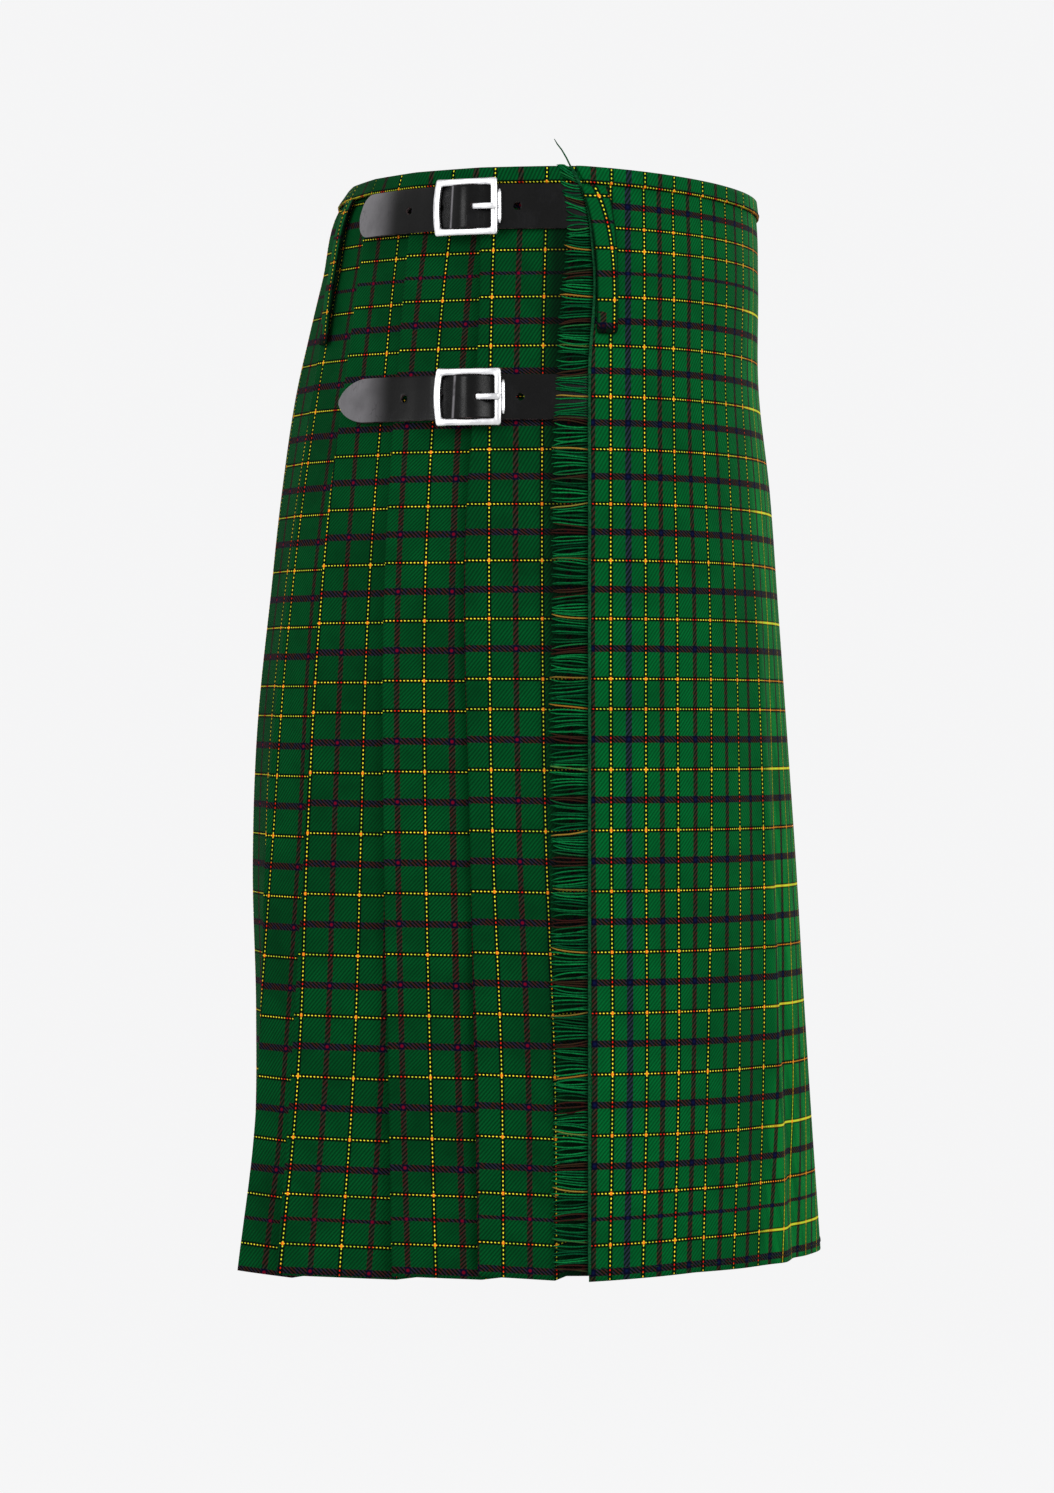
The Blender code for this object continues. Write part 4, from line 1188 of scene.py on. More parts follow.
@dataclass
class Cloth:
    """The kilt's cloth: both aprons, the pleated back and the two waistband strips."""

    pleats: Pleats
    wool: bpy.types.Material
    apron_wool: bpy.types.Material
    under_wool: bpy.types.Material
    rows: int = 110
    apron_columns: int = 210
    under_columns: int = 90
    corner_drop: float = 0.003
    corner_reach: float = 0.060
    apron_underlay: float = 0.026
    band_lean: float = 1.25
    under_cut: Cut = Cut("under_apron", (0.640, 0.603), 0.327, Held.HUNG, "waistband_back")
    back_cut: Cut = Cut("pleated_back", (1.250, 0.603), 0.651, Held.FOLDED, "waistband_back")
    over_cut: Cut = Cut("over_apron", (0.640, 0.603), 0.336, Held.HUNG, "under_apron")
    apron_band_cut: Cut = Cut("waistband_apron", (0.430, 0.010), 0.0039, Held.STRETCHED, "over_apron")
    back_band_cut: Cut = Cut("waistband_back", (0.484, 0.010), 0.0044, Held.STRETCHED, "pleated_back")

    def over_row(self, z: float) -> Line:
        """The over apron, from the seam in the left inverted pleat to its fringed edge."""
        ring = Form.ring(z)
        meet = ring.back_length - MEET
        root = meet + self.apron_underlay
        fold = meet + MOUTH
        line = Line()
        seam = meet + 2.5 * GAP
        inner = 0.5 * (meet + root)
        outer = 0.5 * (fold + root)
        hidden = np.array([seam, inner, root, root + 0.5 * LAYER, root, outer, fold])
        outs = LAYER * np.array([-2.0, -1.5, -1.0, -0.5, 0.0, 0.0, 0.0])
        line.add(ring.at(hidden, outs), 0.0, self._apron_stripes(z, ring, hidden), 0.0)
        turned = np.array([fold - 0.35 * LAYER, fold - 0.5 * LAYER, fold - 0.35 * LAYER])
        outs = LAYER * np.array([0.15, 0.5, 0.85])
        line.add(ring.at(turned, outs), 0.0, self._apron_stripes(z, ring, turned), 0.0)
        arcs = np.linspace(fold, ring.length - ring.apron_edge, self.apron_columns)
        near = np.clip(1.0 - (arcs[-1] - arcs) / self.corner_reach, 0.0, None)
        foot = min(1.0, max(0.0, (-0.510 - z) / 0.068))
        drop = self.corner_drop * near * foot
        line.add(ring.at(arcs, LAYER), drop, self._apron_stripes(z, ring, arcs), 0.0)
        return line

    def under_row(self, z: float) -> Line:
        """The under apron, from its free left edge round to the first pleat."""
        ring = Form.ring(z)
        line = Line()
        arcs = np.linspace(ring.back_length + UNDER_EDGE, ring.length, self.under_columns)[:-1]
        stripes = Sett.on_face(0, z, arcs - ring.length, 0.0)
        line.add(ring.at(arcs, 0.0), 0.0, stripes, 0.0)
        face = self.pleats.faces(z)[0]
        self.pleats.show(line, face, 0, z)
        return line

    def back_row(self, z: float) -> Line:
        """The pleated back, from the first inner fold to the seam under the last pleat."""
        ring = Form.ring(z)
        faces = self.pleats.faces(z)
        line = Line()
        for number, face in enumerate(faces):
            if number:
                self.pleats.show(line, face, number, z)
            skip = GAP + 0.5 * CLOTH if number == 0 else 0.0
            spot, drop = self.pleats.inner_start(face, z, skip)
            stripes = (np.array([0.5]), np.array([0.05]))
            line.add(spot, drop, stripes, 0.0)
            if number < len(faces) - 1:
                middle = face.at(1.0 - 0.4 * self.pleats.depth(face, z), 2.0 * LAYER)
                line.add(middle, 0.5 * drop, stripes, 0.0)
        last = ring.at(np.array([ring.back_length - MEET]), -2.0 * LAYER)
        line.add(last, 0.0, (np.array([0.5]), np.array([0.05])), 0.0)
        return line

    def apron_band_row(self, z: float) -> Line:
        """The waistband along the over apron."""
        ring = Form.ring(z)
        start = ring.back_length - MEET + MOUTH
        arcs = np.linspace(start, ring.length - ring.apron_edge - 0.0029, self.apron_columns)
        line = Line()
        out = LAYER + 0.5 * CLOTH + GAP + 0.5 * BAND
        line.add(ring.at(arcs, out), 0.0, self._apron_stripes(z, ring, arcs), 0.0)
        return line

    def back_band_row(self, z: float) -> Line:
        """The waistband along the back."""
        ring = Form.ring(z)
        out = (0.5 * CLOTH + GAP + 0.5 * BAND) * self.band_lean
        line = Line()
        start = np.array([-ring.apron_edge + 2.0 * GAP + 0.5 * CLOTH])
        line.add(ring.at(start, out), 0.0, Sett.on_face(0, z, start, 0.0), 0.0)
        before = 0.0
        for number, (arc, kick) in enumerate(self.pleats.folds(z)):
            face = PleatFace(ring, before, arc, 0.0, kick)
            shares = np.linspace(0.0, 1.0, 13)[: 13 if number == 11 else 12]
            stripes = Sett.on_face(number, z, before + (arc - before) * shares, arc)
            line.add(face.at(shares, -out), 0.0, stripes, 0.0)
            before = arc
        return line

    @staticmethod
    def _apron_stripes(z: float, ring: Ring, arcs: Array) -> tuple[Array, Array]:
        """The warp's counts and pitch at places along the ring's front."""
        return Sett.on_apron(z, ring.length - arcs)

    def sew(
        self,
        name: str,
        row: Callable[[float], Line],
        heights: Array,
        thickness: float,
        look: bpy.types.Material,
    ) -> bpy.types.Object:
        """Bends one cloth to its place.

        Args:
            name: the piece's name.
            row: gives its row at a height.
            heights: the heights of its rows.
            thickness: its wall.
            look: its material.

        Returns:
            The piece.
        """
        points, stripes, pitch, cut = [], [], [], []
        for z in heights:
            line = row(float(z))
            spots = np.concatenate(line.spots)
            drops = np.concatenate(line.drops) + Form.dip(float(z), spots[:, 1], Form.ring(z).front)
            lower = np.concatenate(line.lower)
            points.append(np.column_stack([spots, z - drops]))
            count, step = Sett.weft(z + lower)
            stripes.append(np.column_stack([np.concatenate(line.stripes), count]))
            pitch.append(np.column_stack([np.concatenate(line.pitch), step]))
            run = np.concatenate([[0.0], np.cumsum(np.linalg.norm(np.diff(spots, axis=0), axis=1))])
            cut.append(np.column_stack([run, TOP - z - lower]))
        charts = {"stripes": np.array(stripes), "pitch": np.array(pitch), "cut": np.array(cut)}
        return solidify(bent_sheet(name, np.array(points), charts, look), thickness)

    def build(self) -> list[bpy.types.Object]:
        heights = np.linspace(TOP, HEM, self.rows)
        band_heights = np.linspace(TOP, BAND_FOOT, 5)
        plan = (
            (self.under_cut, self.under_row, heights, CLOTH, self.under_wool),
            (self.back_cut, self.back_row, heights, CLOTH, self.wool),
            (self.over_cut, self.over_row, heights, CLOTH, self.apron_wool),
            (self.apron_band_cut, self.apron_band_row, band_heights, BAND, self.apron_wool),
            (self.back_band_cut, self.back_band_row, band_heights, BAND, self.wool),
        )
        made = []
        for cut, row, levels, wall, look in plan:
            piece = settle(self.sew("cloth_" + cut.node, row, levels, wall, look), Slot.TARTAN, cut.node)
            made.append(piece)
        return made


# ---- belt loops -------------------------------------------------------------------------------------
@dataclass
class BeltLoop:
    """A strip of cloth, sewn on at its two ends and bowed out a little between them."""

    name: str
    side: Side
    top: float  # its distance behind the hip at its top
    foot: float
    seat: float  # how far out of the ring the cloth below it lies
    look: bpy.types.Material
    half_width: float = 0.0056
    high: float = 0.0110
    low: float = -0.070
    wall: float = 0.0012
    bow: float = 0.0016
    flare: float = 0.0018  # how much wider each side grows to its top
    lean: float = 3.5
    flat: tuple = (0.0148, 0.083)
    flat_area: float = 0.00098
    first_yellow: float = 0.0055
    pitch: float = 0.0143

    def build(self) -> bpy.types.Object:
        """Makes the loop."""
        rows, stripes, pitch, cut = [], [], [], []
        across = np.linspace(-1.0, 1.0, 13)
        for share in np.linspace(0.0, 1.0, 60):
            z = self.high + (self.low - self.high) * share
            centre = self.foot + (self.top - self.foot) * (1.0 - share) ** self.lean
            corner = min(1.0, (1.0 - share) / 0.03 + 0.35)
            crown = 0.0004 * (1.0 - across**2)
            out = self.seat + 0.5 * CLOTH + GAP + 0.5 * self.wall + self.bow * math.sin(math.pi * share)
            row = []
            for place, rise in zip(across, crown):
                width = self.half_width * (1.0 - (1.0 - corner) * 0.25) + self.flare * (1.0 - share) ** 4
                row.append(Form.place(z, centre + place * width, out + rise, self.side))
            rows.append(row)
            count = (self.first_yellow - z) / self.pitch
            line = -0.62 + 0.62 * (1.0 - share) ** 3
            most = 1.3 if share > 0.86 else 0.45
            stripes.append([(min(most, (place - line) * 0.96), count) for place in across])
            pitch.append([(0.0058, self.pitch)] * len(across))
            cut.append([(place * self.half_width, TOP - z) for place in across])
        charts = {"stripes": np.array(stripes), "pitch": np.array(pitch), "cut": np.array(cut)}
        sheet = bent_sheet(self.name, np.array(rows), charts, self.look)
        piece = settle(solidify(sheet, self.wall), Slot.TARTAN, self.name.replace("cloth_", ""))
        return piece


# ---- straps and buckles -----------------------------------------------------------------------------
@dataclass
class Fastening:
    """One strap with its buckle, laid out from the buckle's centre."""

    name: str
    side: Side
    z: float
    buckle: float
    tip: float
    tip_length: float
    tip_power: float
    leather: bpy.types.Material
    raw_edge: bpy.types.Material
    metal: bpy.types.Material
    strap: float = 0.0018
    half_width: float = 0.0122
    waist: float = 0.0116  # its half width inside the frame
    hump: float = 0.0154
    chape_tail: float = 0.021
    hole_radius: float = 0.0022
    hole_pitch: float = 0.0218
    tongue_hole: float = -0.0054
    half_length: float = 0.0157
    half_height: float = 0.0138
    corner: float = 0.0012
    bar_width: float = 0.0019
    bar_height: float = 0.0015
    lift: float = 0.0062
    bow: float = 0.0013
    centre_bar: float = 0.0008
    bar_lift: float = 0.0043
    tongue_width: float = 0.0017
    tongue_height: float = 0.0009
    roller_radius: float = 0.0010
    roller_half: float = 0.0094

    def __post_init__(self) -> None:
        """Finds the buckle's centre and the strap's end along the cloth."""
        self.centre = Form.behind_at(self.z, self.buckle)
        self.end = Form.behind_at(self.z, self.tip) - self.centre

    def at(self, back: float, up: float, out: float) -> Vector:
        """A point this far behind the buckle's centre, above it, and out of the ring."""
        return Form.place(self.z + up, self.centre + back, out, self.side)

    def outward(self, back: float, up: float) -> Vector:
        """The direction out of the ring at a place."""
        return (self.at(back, up, 0.01) - self.at(back, up, 0.0)).normalized()

    def strap_lift(self, back: float) -> float:
        """The strap's centre above the ring: under both end bars and over the centre bar."""
        low = 0.5 * CLOTH + GAP + 0.5 * self.strap + 0.0002
        under = self.lift - self.bar_height - GAP - 0.5 * self.strap
        over = self.bar_lift + self.centre_bar + 2.0 * GAP + 2.0 * 0.0010 + 0.5 * self.strap
        if abs(back) < self.hump:
            return under + (over - under) * 0.5 * (1.0 + math.cos(math.pi * back / self.hump))
        if back < 0.0:
            return self._soft(low, under - (-back - self.hump) * 0.12)
        return self._soft(low, under - max(0.0, back - self.chape_tail) * 0.15)

    @staticmethod
    def _soft(low: float, high: float) -> float:
        """The greater of two lifts, with the corner between them rounded."""
        ease = 0.0004
        return low + 0.5 * ((high - low) + math.hypot(high - low, ease))

    def strap_front(self, up: float) -> float:
        """Where the strap starts: under the fringed edge, or at the fold on the left."""
        if self.side is Side.LEFT:
            return MEET + CLOTH - self.centre
        return -Form.ring(self.z + up).apron_edge + CLOTH - self.centre

    def make_strap(self) -> bpy.types.Object:
        """The leather strap with its round holes."""
        front = self.strap_front(0.0)
        head = self.tip_length
        body = np.arange(front, self.end - head, 0.0011)
        tip = self.end - head * np.cos(np.linspace(0.0, 0.5 * math.pi, 13))
        stations = [*body[:-1], *tip]
        across = np.linspace(1.0, -1.0, 23)
        holes = [self.tongue_hole + step * self.hole_pitch for step in (-1, 0, 1, 2)]
        rows = []
        for back in stations:
            left = max(0.0, (self.end - back) / head)
            width = (1.0 - (1.0 - min(1.0, left)) ** self.tip_power) ** (1.0 / self.tip_power)
            pinch = math.exp(-((back / (0.9 * self.hump)) ** 4))
            half = max(width, 0.10) * (self.half_width + (self.waist - self.half_width) * pinch)
            row = []
            for edge in across:
                up = edge * half
                slant = (self.strap_front(up) - front) * max(0.0, 1.0 - (back - front) / 0.012)
                row.append((back + slant, up))
            rows.append(row)
        spots = np.array(rows)
        self._round_holes(spots, holes)
        points = np.array([[self.at(b, u, self.strap_lift(b)) for b, u in row] for row in spots])
        charts = {"cut": spots}
        removed = self._hole_faces(spots, holes)

        def trim(bm: bmesh.types.BMesh) -> None:
            """Takes out the faces inside the holes."""
            bm.faces.ensure_lookup_table()
            bmesh.ops.delete(bm, geom=[bm.faces[i] for i in removed], context="FACES")

        piece = bent_sheet("leather_strap_" + self.name, points, charts, self.leather, trim)
        piece.data.materials.append(self.raw_edge)
        solidify(piece, self.strap, rim=1)
        round_off = piece.modifiers.new("Edges", "BEVEL")
        round_off.width = 0.0003
        round_off.segments = 2
        round_off.limit_method = "ANGLE"
        round_off.angle_limit = math.radians(50)
        return settle(piece, Slot.LEATHER, "strap_" + self.name)

    def _round_holes(self, spots: Array, holes: Sequence[float]) -> None:
        """Draws the grid's nearest corners onto each hole's edge."""
        for hole in holes:
            away = spots - np.array([hole, 0.0])
            radius = np.linalg.norm(away, axis=2)
            near = np.abs(radius - self.hole_radius) < 0.00062
            scale = np.where(near, self.hole_radius / np.maximum(radius, 1e-6), 1.0)
            spots[:] = np.array([hole, 0.0]) + away * scale[..., None]

    def _hole_faces(self, spots: Array, holes: Sequence[float]) -> list[int]:
        """The grid's faces that lie inside a hole."""
        middles = 0.25 * (spots[:-1, :-1] + spots[1:, :-1] + spots[:-1, 1:] + spots[1:, 1:])
        found = []
        for hole in holes:
            inside = np.linalg.norm(middles - np.array([hole, 0.0]), axis=2) < self.hole_radius * 0.97
            found += [int(r * middles.shape[1] + c) for r, c in zip(*np.nonzero(inside))]
        return found

    def make_frame(self) -> bpy.types.Object:
        """The buckle's frame, mitred and then rounded at its corners, with its centre bar."""
        wide, high = self.half_length, self.half_height
        corners = ((wide, high), (-wide, high), (-wide, -high), (wide, -high))
        path, outward, widths = [], [], []
        for i, (x, z) in enumerate(corners):
            after_x, after_z = corners[(i + 1) % 4]
            for share in (0.0, 0.14, 0.32, 0.5, 0.68, 0.86):
                here_x = x + (after_x - x) * share
                here_z = z + (after_z - z) * share
                if min(x, after_x) > 0.0:
                    here_x += self.bow * (1.0 - (here_z / high) ** 2)
                path.append(self.at(here_x, here_z, self.lift))
                outward.append(self.outward(here_x, here_z))
                widths.append(self.bar_width * (math.sqrt(2.0) if share == 0.0 else 1.0))
        bm = swept(path, outward, widths, self.bar_height, 16, closed=True, square=0.62)
        sharp = [e for e in bm.edges if len(e.link_faces) == 2 and e.calc_face_angle() > math.radians(55)]
        bmesh.ops.bevel(bm, geom=sharp, offset=self.corner, offset_type="OFFSET", segments=3, profile=0.5,
                        affect="EDGES", material=-1, clamp_overlap=True)  # fmt: skip
        rise = self.half_height
        shaft = [(-rise, self.lift), (-0.0122, self.bar_lift), (0.0122, self.bar_lift), (rise, self.lift)]
        spots = [self.at(0.0, up, lift) for up, lift in shaft]
        rod = swept(spots, [self.outward(0.0, up) for up, _ in shaft], self.centre_bar, self.centre_bar, 10)
        joined = bpy.data.meshes.new("bar")
        rod.to_mesh(joined)
        rod.free()
        bm.from_mesh(joined)
        bpy.data.meshes.remove(joined)
        piece = keep("metal_buckle_" + self.name, bm, self.metal)
        return settle(piece, Slot.METAL, "buckle_" + self.name)

    def make_tongue(self) -> bpy.types.Object:
        """The flat tongue, hooked round the centre bar, up through the strap and onto the frame."""
        ring = self.centre_bar + GAP + self.tongue_height
        path = []
        for turn in range(100, -181, -20):
            angle = math.radians(turn)
            path.append((ring * math.cos(angle), self.bar_lift + ring * math.sin(angle)))
        rest = self.lift + self.bar_height + 0.5 * GAP + self.tongue_height
        path += [(-0.0040, self.bar_lift + 0.0022), (-0.0056, self.bar_lift + 0.0040), (-0.0074, rest - 0.0010),
                 (-0.0096, rest - 0.0001), (-0.0125, rest), (-self.half_length, rest),
                 (-self.half_length - self.bar_width + 0.0004, rest - 0.0001)]  # fmt: skip
        points = [self.at(back, 0.0, lift) for back, lift in path]
        count = len(points)
        widths = [self.tongue_width * (0.8 if i > count - 2 else 1.0) for i in range(count)]
        heights = [self.tongue_height * (0.6 if i > count - 2 else 1.0) for i in range(count)]
        out = [self._tongue_up(points, i) for i in range(count)]
        bm = swept(points, out, widths, heights, 12, square=0.6)
        return settle(keep("metal_tongue_" + self.name, bm, self.metal), Slot.METAL, "tongue_" + self.name)

    @staticmethod
    def _tongue_up(points: Sequence[Vector], i: int) -> Vector:
        """The direction across the tongue's path in its own upright plane."""
        before = points[max(0, i - 1)]
        after = points[min(len(points) - 1, i + 1)]
        return Vector((0.0, 0.0, 1.0)).cross(after - before).normalized()

    def make_roller(self) -> bpy.types.Object:
        """The thin roller along the outside of the frame's toe bar."""
        back = -self.half_length - self.bar_width - self.roller_radius + 0.0001
        steps = np.linspace(-self.roller_half, self.roller_half, 9)
        path = [self.at(back, float(up), self.lift - 0.0004) for up in steps]
        sizes = [self.roller_radius * (0.55 if i in (0, 8) else 1.0) for i in range(9)]
        bm = swept(path, [self.outward(back, float(up)) for up in steps], sizes, sizes, 12)
        return settle(keep("metal_roller_" + self.name, bm, self.metal), Slot.METAL, "roller_" + self.name)

    def build(self) -> list[bpy.types.Object]:
        """Makes the strap, the frame, the tongue and the roller, and dresses the solid chape."""
        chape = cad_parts["chape_" + self.name]
        chape.data.materials.clear()
        chape.data.materials.append(self.leather)
        return [self.make_strap(), self.make_frame(), self.make_tongue(), self.make_roller()]


# ---- fringe -----------------------------------------------------------------------------------------
@dataclass
class Fringe:
    """The over apron's ravelled edge: threads, their root cord and one loose thread."""

    wool: bpy.types.Material
    cord: bpy.types.Material
    threads: int = 392
    lengths: Heights = Heights(
        (0.022, 0.015, 0.000, -0.013, -0.033, -0.046, -0.090, -0.140, -0.578),
        ((0.0070,), (0.0095,), (0.0110,), (0.0124,), (0.0152,), (0.0172,), (0.0172,), (0.0186,), (0.0186,)),
    )
    radius: float = 0.00044
    segments: int = 6
    seed: int = 11
    straps: tuple = (0.0, -0.105)  # the heights of the straps that the threads lie on
    strap_reach: float = 0.0155  # above and below a strap's middle, where the threads come down to the cloth
    strap_ease: float = 0.0025
    on_cloth: float = 0.0017
    on_strap: float = 0.0036

    def edge(self, z: float) -> float:
        """The fringed edge's distance behind the right hip."""
        return -float(Form.ring(z).apron_edge)

    def course(self, i: int, dice: np.random.Generator) -> tuple[list[Vector], float, float]:
        """One thread's path from its root, with its weft row and how teal it is.

        Args:
            i: the thread's number from the top.
            dice: the seeded source of its unevenness.

        Returns:
            The path, the row and the share of teal.
        """
        top, foot = TOP - 0.0012, HEM + 0.0018
        spacing = (top - foot) / self.threads
        root = top - spacing * (i + 0.5)
        uneven = 1.0 + 0.03 * math.sin(i * 0.071) + dice.uniform(-0.05, 0.03)
        reach = float(self.lengths.at(root)[0]) * uneven
        pair = -0.42 * spacing if i % 2 == 0 else 0.42 * spacing
        clump = 0.0021 * math.sin(i * 0.44 + 1.9 * math.sin(i * 0.061)) + dice.uniform(-0.0005, 0.0005)
        rise = 0.0050 * max(0.0, min(1.0, (root + 0.020) / 0.040))
        wave = dice.uniform(-0.0010, 0.0010)
        lift = dice.uniform(0.0001, 0.0011)
        path = []
        for share in np.linspace(0.0, 1.0, self.segments + 1):
            z = root + (clump + rise) * share**1.2 + wave * math.sin(math.pi * share)
            z += pair * max(0.0, (share - 0.72) / 0.28) ** 2
            z = min(max(z, HEM + 0.0010), TOP + 0.0006)
            out = LAYER + 0.0005 + lift * math.sin(math.pi * share) - 0.0010 * share**2
            path.append(Form.place(z, self.edge(root) + 0.0004 + reach * share, max(out, self.floor_at(z))))
        return path, float(Sett.weft(np.array([root]))[0][0]), float(dice.uniform(0.0, 1.0))

    def floor_at(self, z: float) -> float:
        """How far out of the ring the threads lie at least: on the cloth, or on a strap's leather."""
        near = min(abs(z - strap) for strap in self.straps)
        share = min(1.0, max(0.0, (self.strap_reach - near) / self.strap_ease))
        return self.on_cloth + (self.on_strap - self.on_cloth) * share

    def make_threads(self) -> bpy.types.Object:
        """Hundreds of thin threads that point backwards in uneven clumps, joined in pairs like loops."""
        dice = np.random.default_rng(self.seed)
        count = self.segments
        straight = [Vector((i / count, 0.0, 0.0)) for i in range(count + 1)]
        sizes = [1.0] * count + [0.5]
        one = swept(straight, [Vector((0.0, 0.0, 1.0))] * (count + 1), sizes, sizes, 4)
        pattern = bpy.data.meshes.new("thread")
        one.to_mesh(pattern)
        one.free()
        size = len(pattern.vertices)
        rest = np.array([v.co for v in pattern.vertices])
        rings = np.rint(rest[:, 0] * count).astype(int)
        bm = bmesh.new()
        for _ in range(self.threads):
            bm.from_mesh(pattern)
        piece = keep("wool_fringe", bm, self.wool)
        bpy.data.meshes.remove(pattern)
        places, marks, depths = [], [], []
        for i in range(self.threads):
            path, row, teal = self.course(i, dice)
            for j in range(size):
                k = int(rings[j])
                along = (path[min(k + 1, count)] - path[max(k - 1, 0)]).normalized()
                facing = Vector((path[k].x, path[k].y, 0.0)).normalized()
                over = (facing - along * along.dot(facing)).normalized()
                side = over.cross(along)
                places.append(path[k] + (side * rest[j, 1] + over * rest[j, 2]) * self.radius)
                marks.append((rest[j, 0], row))
                # The depth chart carries how far in towards the cloth each corner lies, for the finish's
                # painted shade, and the thread's random share of teal.
                depths.append((0.5 - 0.5 * rest[j, 2], teal))
        mesh = piece.data
        mesh.vertices.foreach_set("co", np.array(places, np.float32).ravel())
        corners = np.empty(len(mesh.loops), np.int32)
        mesh.loops.foreach_get("vertex_index", corners)
        for name, values in (("stripes", marks), ("depth", depths)):
            chart = np.array(values, np.float32)[corners]
            mesh.uv_layers.new(name=name).data.foreach_set("uv", chart.ravel())
        mesh.update()
        return settle(piece, Slot.FRINGE, "fringe")

    def make_cord(self) -> bpy.types.Object:
        """The smooth cord at the threads' roots; the loose thread that runs up from its top is made apart."""
        heights = np.linspace(TOP - 0.001, HEM + 0.001, 120)
        path = [Form.place(float(z), self.edge(float(z)) - 0.0002, LAYER + 0.0009) for z in heights]
        out = [Form.place(float(z), self.edge(float(z)), 0.02) - p for z, p in zip(heights, path)]
        bm = swept(path, out, 0.0009, 0.0005, 8)
        return settle(keep("wool_edge_cord", bm, self.cord), Slot.FRINGE)

    def make_loose_thread(self) -> bpy.types.Object:
        """A thread that has worked loose at the top corner."""
        steps = ((0.0170, -0.0115), (0.0215, -0.0082), (0.0262, -0.0060), (0.0305, -0.0036), (0.0338, -0.0012),
                 (0.0366, 0.0004))  # fmt: skip
        path = [Form.place(min(z, TOP), behind, LAYER + 0.0014) for z, behind in steps]
        for spot, (z, _) in zip(path, steps):
            spot.z = z
        sizes = [0.00055, 0.00055, 0.0005, 0.00045, 0.0004, 0.0002]
        bm = swept(path, [Vector((-1.0, 0.0, 0.0))] * len(path), sizes, sizes, 6)
        return settle(keep("wool_loose_thread", bm, self.cord), Slot.FRINGE)

    def build(self) -> list[bpy.types.Object]:
        """Makes the three pieces."""
        return [self.make_threads(), self.make_cord(), self.make_loose_thread()]


# ---- stitching --------------------------------------------------------------------------------------
@dataclass
class Stitching:
    """Rows of small stitches along a line on the cloth."""

    name: str
    look: bpy.types.Material
    radius: float = 0.00026
    stitch: float = 0.0026
    pitch: float = 0.0036

    def build(
        self, line: Callable[[float], tuple[Vector, Vector]], start: float, end: float
    ) -> bpy.types.Object:
        """Sews the row.

        Args:
            line: gives the point and the outward direction at a distance.
            start, end: the distances at which the row begins and ends.

        Returns:
            The stitches, as one piece.
        """
        bm = bmesh.new()
        for at in np.arange(start, end, self.pitch):
            shares = (0.0, 0.25, 0.75, 1.0)
            spots = [line(float(at + self.stitch * share)) for share in shares]
            sink = (-0.0003, 0.0002, 0.0002, -0.0003)
            path = [spot + out * down for (spot, out), down in zip(spots, sink)]
            one = swept(path, [out for _, out in spots], self.radius, self.radius, 4)
            small = bpy.data.meshes.new("stitch")
            one.to_mesh(small)
            one.free()
            bm.from_mesh(small)
            bpy.data.meshes.remove(small)
        return settle(keep(self.name, bm, self.look), Slot.TARTAN)


# ---- studio -----------------------------------------------------------------------------------------
@dataclass
class Studio:
    """The camera, the pale surroundings and the soft lights."""

    distance: float = 3.0
    eye: float = -0.2907
    lens: float = 125.8
    shift_x: float = -0.01875
    shift_y: float = -0.00435
    floor: float = -1.05

    def make_camera(self) -> None:
        """Stands the camera beside the wearer's right hip."""
        data = bpy.data.cameras.new("camera")
        data.lens = self.lens
        data.sensor_width = 36.0
        data.shift_x = self.shift_x
        data.shift_y = self.shift_y
        data.clip_end = 60.0
        camera = bpy.data.objects.new("camera", data)
        camera.location = (-self.distance, 0.0, self.eye)
        camera.rotation_euler = (math.radians(90.0), 0.0, math.radians(-90.0))
        bpy.context.scene.collection.objects.link(camera)
        bpy.context.scene.camera = camera

    def make_floor(self) -> None:
        """A wide pale floor whose edge sweeps up all round into a wall."""
        profile = (  # radius and rise
            (0.0, 0.0), (1.5, 0.0), (3.6, 0.0), (4.5, 0.06), (5.2, 0.32), (5.7, 0.85), (6.0, 1.7), (6.1, 4.2),
        )  # fmt: skip
        bm = bmesh.new()
        verts = [bm.verts.new((radius, 0.0, self.floor + rise)) for radius, rise in profile]
        edges = [bm.edges.new(pair) for pair in zip(verts, verts[1:])]
        bmesh.ops.spin(bm, geom=[*verts, *edges], axis=(0.0, 0.0, 1.0), cent=(0.0, 0.0, 0.0),
                       angle=math.tau, steps=64, use_merge=True)  # fmt: skip
        bmesh.ops.remove_doubles(bm, verts=bm.verts, dist=1e-4)
        bmesh.ops.recalc_face_normals(bm, faces=bm.faces)
        keep("studio_floor", bm, PalePaint().make())

    def make_light(self) -> None:
        """A bright even surround with two large soft lights."""
        world = bpy.data.worlds.new("surround")
        world.use_nodes = True
        back = world.node_tree.nodes["Background"]
        back.inputs[0].default_value = (0.905, 0.905, 0.91, 1.0)
        back.inputs[1].default_value = 1.0
        bpy.context.scene.world = world
        lamps = (
            ("front_softbox", (-2.2, -1.9, 1.3), 1.3, 54.0),
            ("back_softbox", (-2.2, 2.3, 0.8), 1.3, 43.0),
            ("far_softbox", (2.4, -0.8, 1.2), 1.6, 34.0),
        )
        for name, spot, size, power in lamps:
            data = bpy.data.lights.new(name, "AREA")
            data.shape = "SQUARE"
            data.size = size
            data.energy = power
            lamp = bpy.data.objects.new(name, data)
            lamp.location = spot
            aim = Vector((0.0, 0.0, -0.28)) - Vector(spot)
            lamp.rotation_euler = aim.to_track_quat("-Z", "Y").to_euler()
            bpy.context.scene.collection.objects.link(lamp)

    def build(self) -> None:
        """Sets up the whole studio."""
        self.make_camera()
        self.make_floor()
        self.make_light()
        bpy.context.scene.view_settings.view_transform = "Standard"


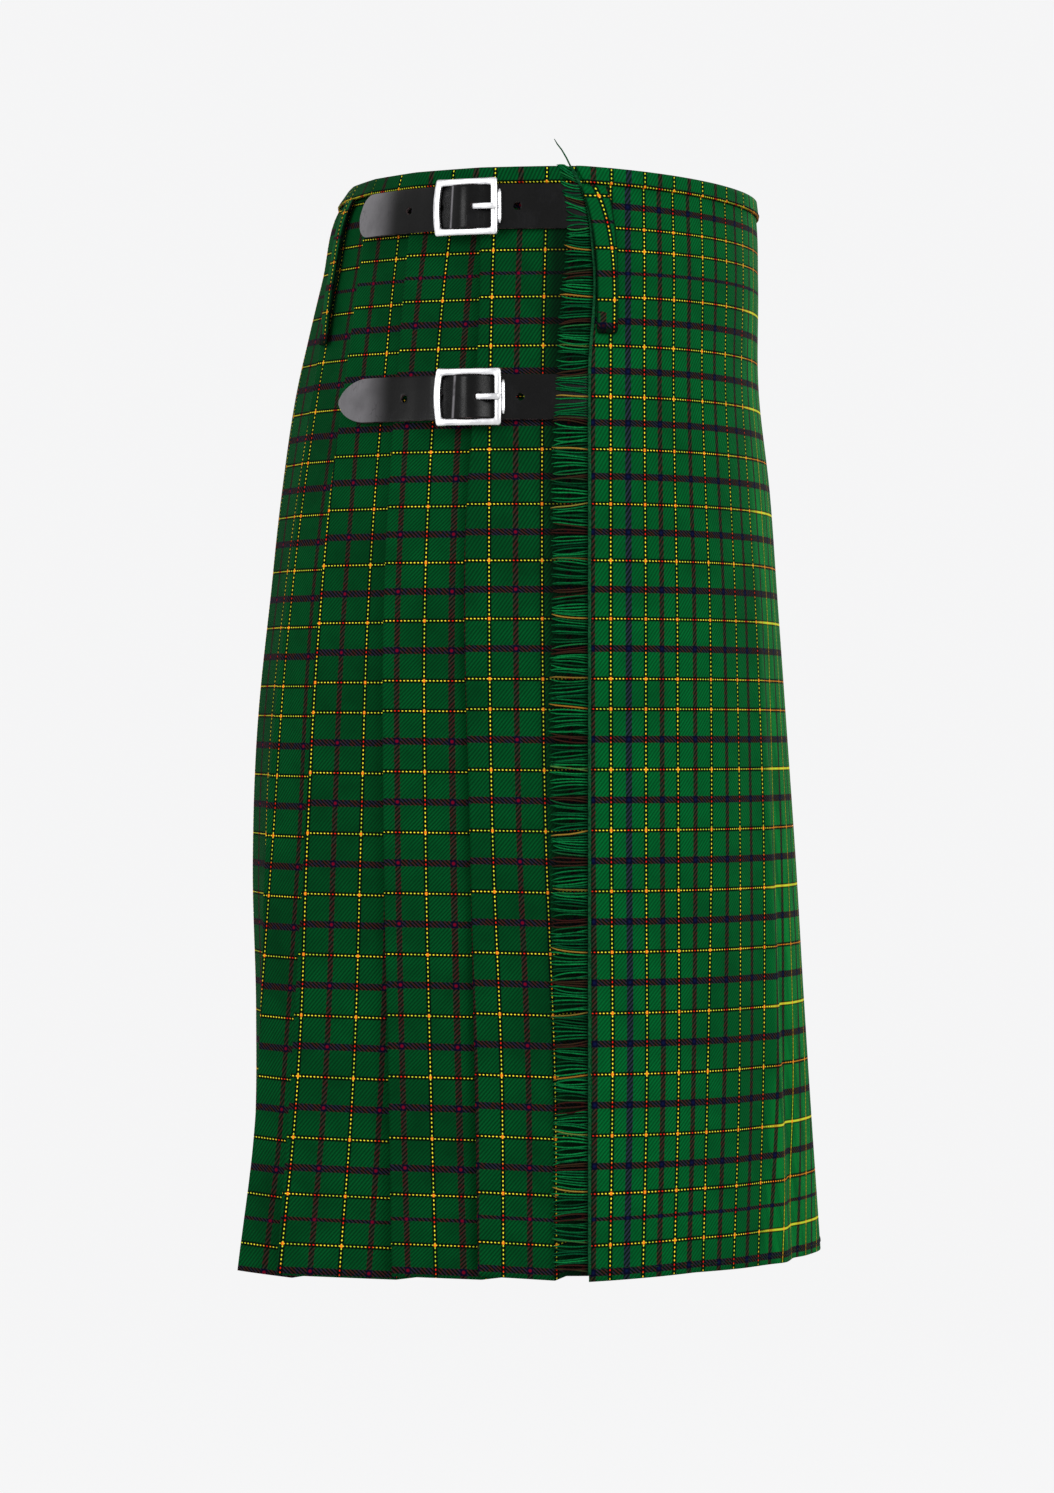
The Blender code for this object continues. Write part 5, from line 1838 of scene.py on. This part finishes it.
# ---- the whole kilt ---------------------------------------------------------------------------------
def sew_details(thread: bpy.types.Material) -> None:
    """The seam under the waistband and the apron's hem stitching.

    Args:
        thread: the sewing thread's finish.
    """

    def waist_line(along: float) -> tuple[Vector, Vector]:
        """The seam just above the waistband's lower edge, from the fringe forwards."""
        z = BAND_FOOT + 0.0016
        ring = Form.ring(z)
        behind = -ring.apron_edge - 0.004 - along
        low = Form.place(z, behind, LAYER + 0.5 * CLOTH + GAP + BAND)
        far = Form.place(z, behind, LAYER + 0.02)
        low.z -= float(Form.dip(z, np.array([low.y]), ring.front)[0])
        far.z = low.z
        return low, (far - low).normalized()

    def hem_line(along: float) -> tuple[Vector, Vector]:
        """The apron's hem, from the fringe forwards."""
        z = HEM + 0.0044
        ring = Form.ring(z)
        behind = -ring.apron_edge - 0.002 - along
        low = Form.place(z, behind, LAYER + 0.5 * CLOTH)
        return low, (Form.place(z, behind, LAYER + 0.02) - low).normalized()

    around = Form.ring(BAND_FOOT).length - Form.ring(BAND_FOOT).back_length
    Stitching("stitches_waistband", thread).build(waist_line, 0.0, around - 0.02)
    hem = Form.ring(HEM).length - Form.ring(HEM).back_length
    Stitching("stitches_hem", thread, pitch=0.0042).build(hem_line, 0.0, hem - 0.03)


def main() -> None:
    """Builds the studio and each sub-assembly in order."""
    logging.basicConfig(level=logging.INFO, format="%(name)s: %(message)s")
    Studio().build()
    wool = TartanWool().make()
    # The apron's wool has lighter greens than the pleats' wool: painted light, for the apron facing more into
    # the light. Its navy knots and navy stripe are the cloth's own pattern.
    apron_wool = TartanWool(name="tartan_wool_apron", light=linear(0, 88, 38), dark=linear(0, 58, 23),
                            shade=linear(0, 54, 22), knot=linear(8, 14, 46), navy=linear(28, 34, 54),
                            navy_stripe=3.0, front=12.6).make()  # fmt: skip
    # The loops' wool paints shade along each loop's edges and foot.
    loop_wool = TartanWool(name="tartan_wool_loop", light=linear(0, 78, 33), dark=linear(0, 58, 24),
                           shade=linear(0, 50, 20), knot=linear(34, 6, 14), rim=0.0058).make()  # fmt: skip
    # The under apron's wool carries painted shade where the fringe lies over it.
    under_wool = TartanWool(name="tartan_wool_under", painted_fringe_shade=0.8).make()
    leather = BridleLeather().make()
    raw_edge = Thread("raw_leather_edge", linear(72, 60, 60), linear(30, 26, 28), 300.0).make()
    metal = SatinMetal().make()
    cord = Thread("teal_cord", linear(2, 68, 34), linear(0, 42, 20)).make()
    sewing = Thread("dark_sewing_thread", linear(10, 44, 26), linear(4, 20, 14)).make()

    pleats = Pleats()
    Cloth(pleats, wool, apron_wool, under_wool).build()
    waist = pleats.folds(BAND_FOOT)
    back_right = waist[3][0] - BACK_LOOP_INSET
    back_left = Form.ring(BAND_FOOT).back_length - waist[7][0] + BACK_LOOP_INSET
    loops = (
        ("cloth_belt_loop_front_right", Side.RIGHT, -0.0205, -0.0276, LAYER, 0.0108),
        ("cloth_belt_loop_front_left", Side.LEFT, -0.0293, -0.0293, LAYER, 0.0108),
        ("cloth_belt_loop_back_right", Side.RIGHT, back_right, back_right + BACK_LOOP_LEAN, 0.0, 0.0125),
        ("cloth_belt_loop_back_left", Side.LEFT, back_left, back_left + BACK_LOOP_LEAN, 0.0, 0.0125),
    )
    for name, side, top, foot, seat, high in loops:
        BeltLoop(name, side, top, foot, seat, loop_wool, high=high).build()
    fastenings = (
        ("right_waist", Side.RIGHT, 0.000, 0.0463, 0.1060, 0.011, 2.2),
        ("right_hip", Side.RIGHT, -0.105, 0.0455, 0.1170, 0.022, 1.7),
        ("left_waist", Side.LEFT, 0.000, 0.0463, 0.1060, 0.011, 2.2),
    )
    for row in fastenings:
        Fastening(*row, leather, raw_edge, metal).build()
    Fringe(FringeWool().make(), cord).build()
    sew_details(sewing)


if __name__ == "__main__":
    main()
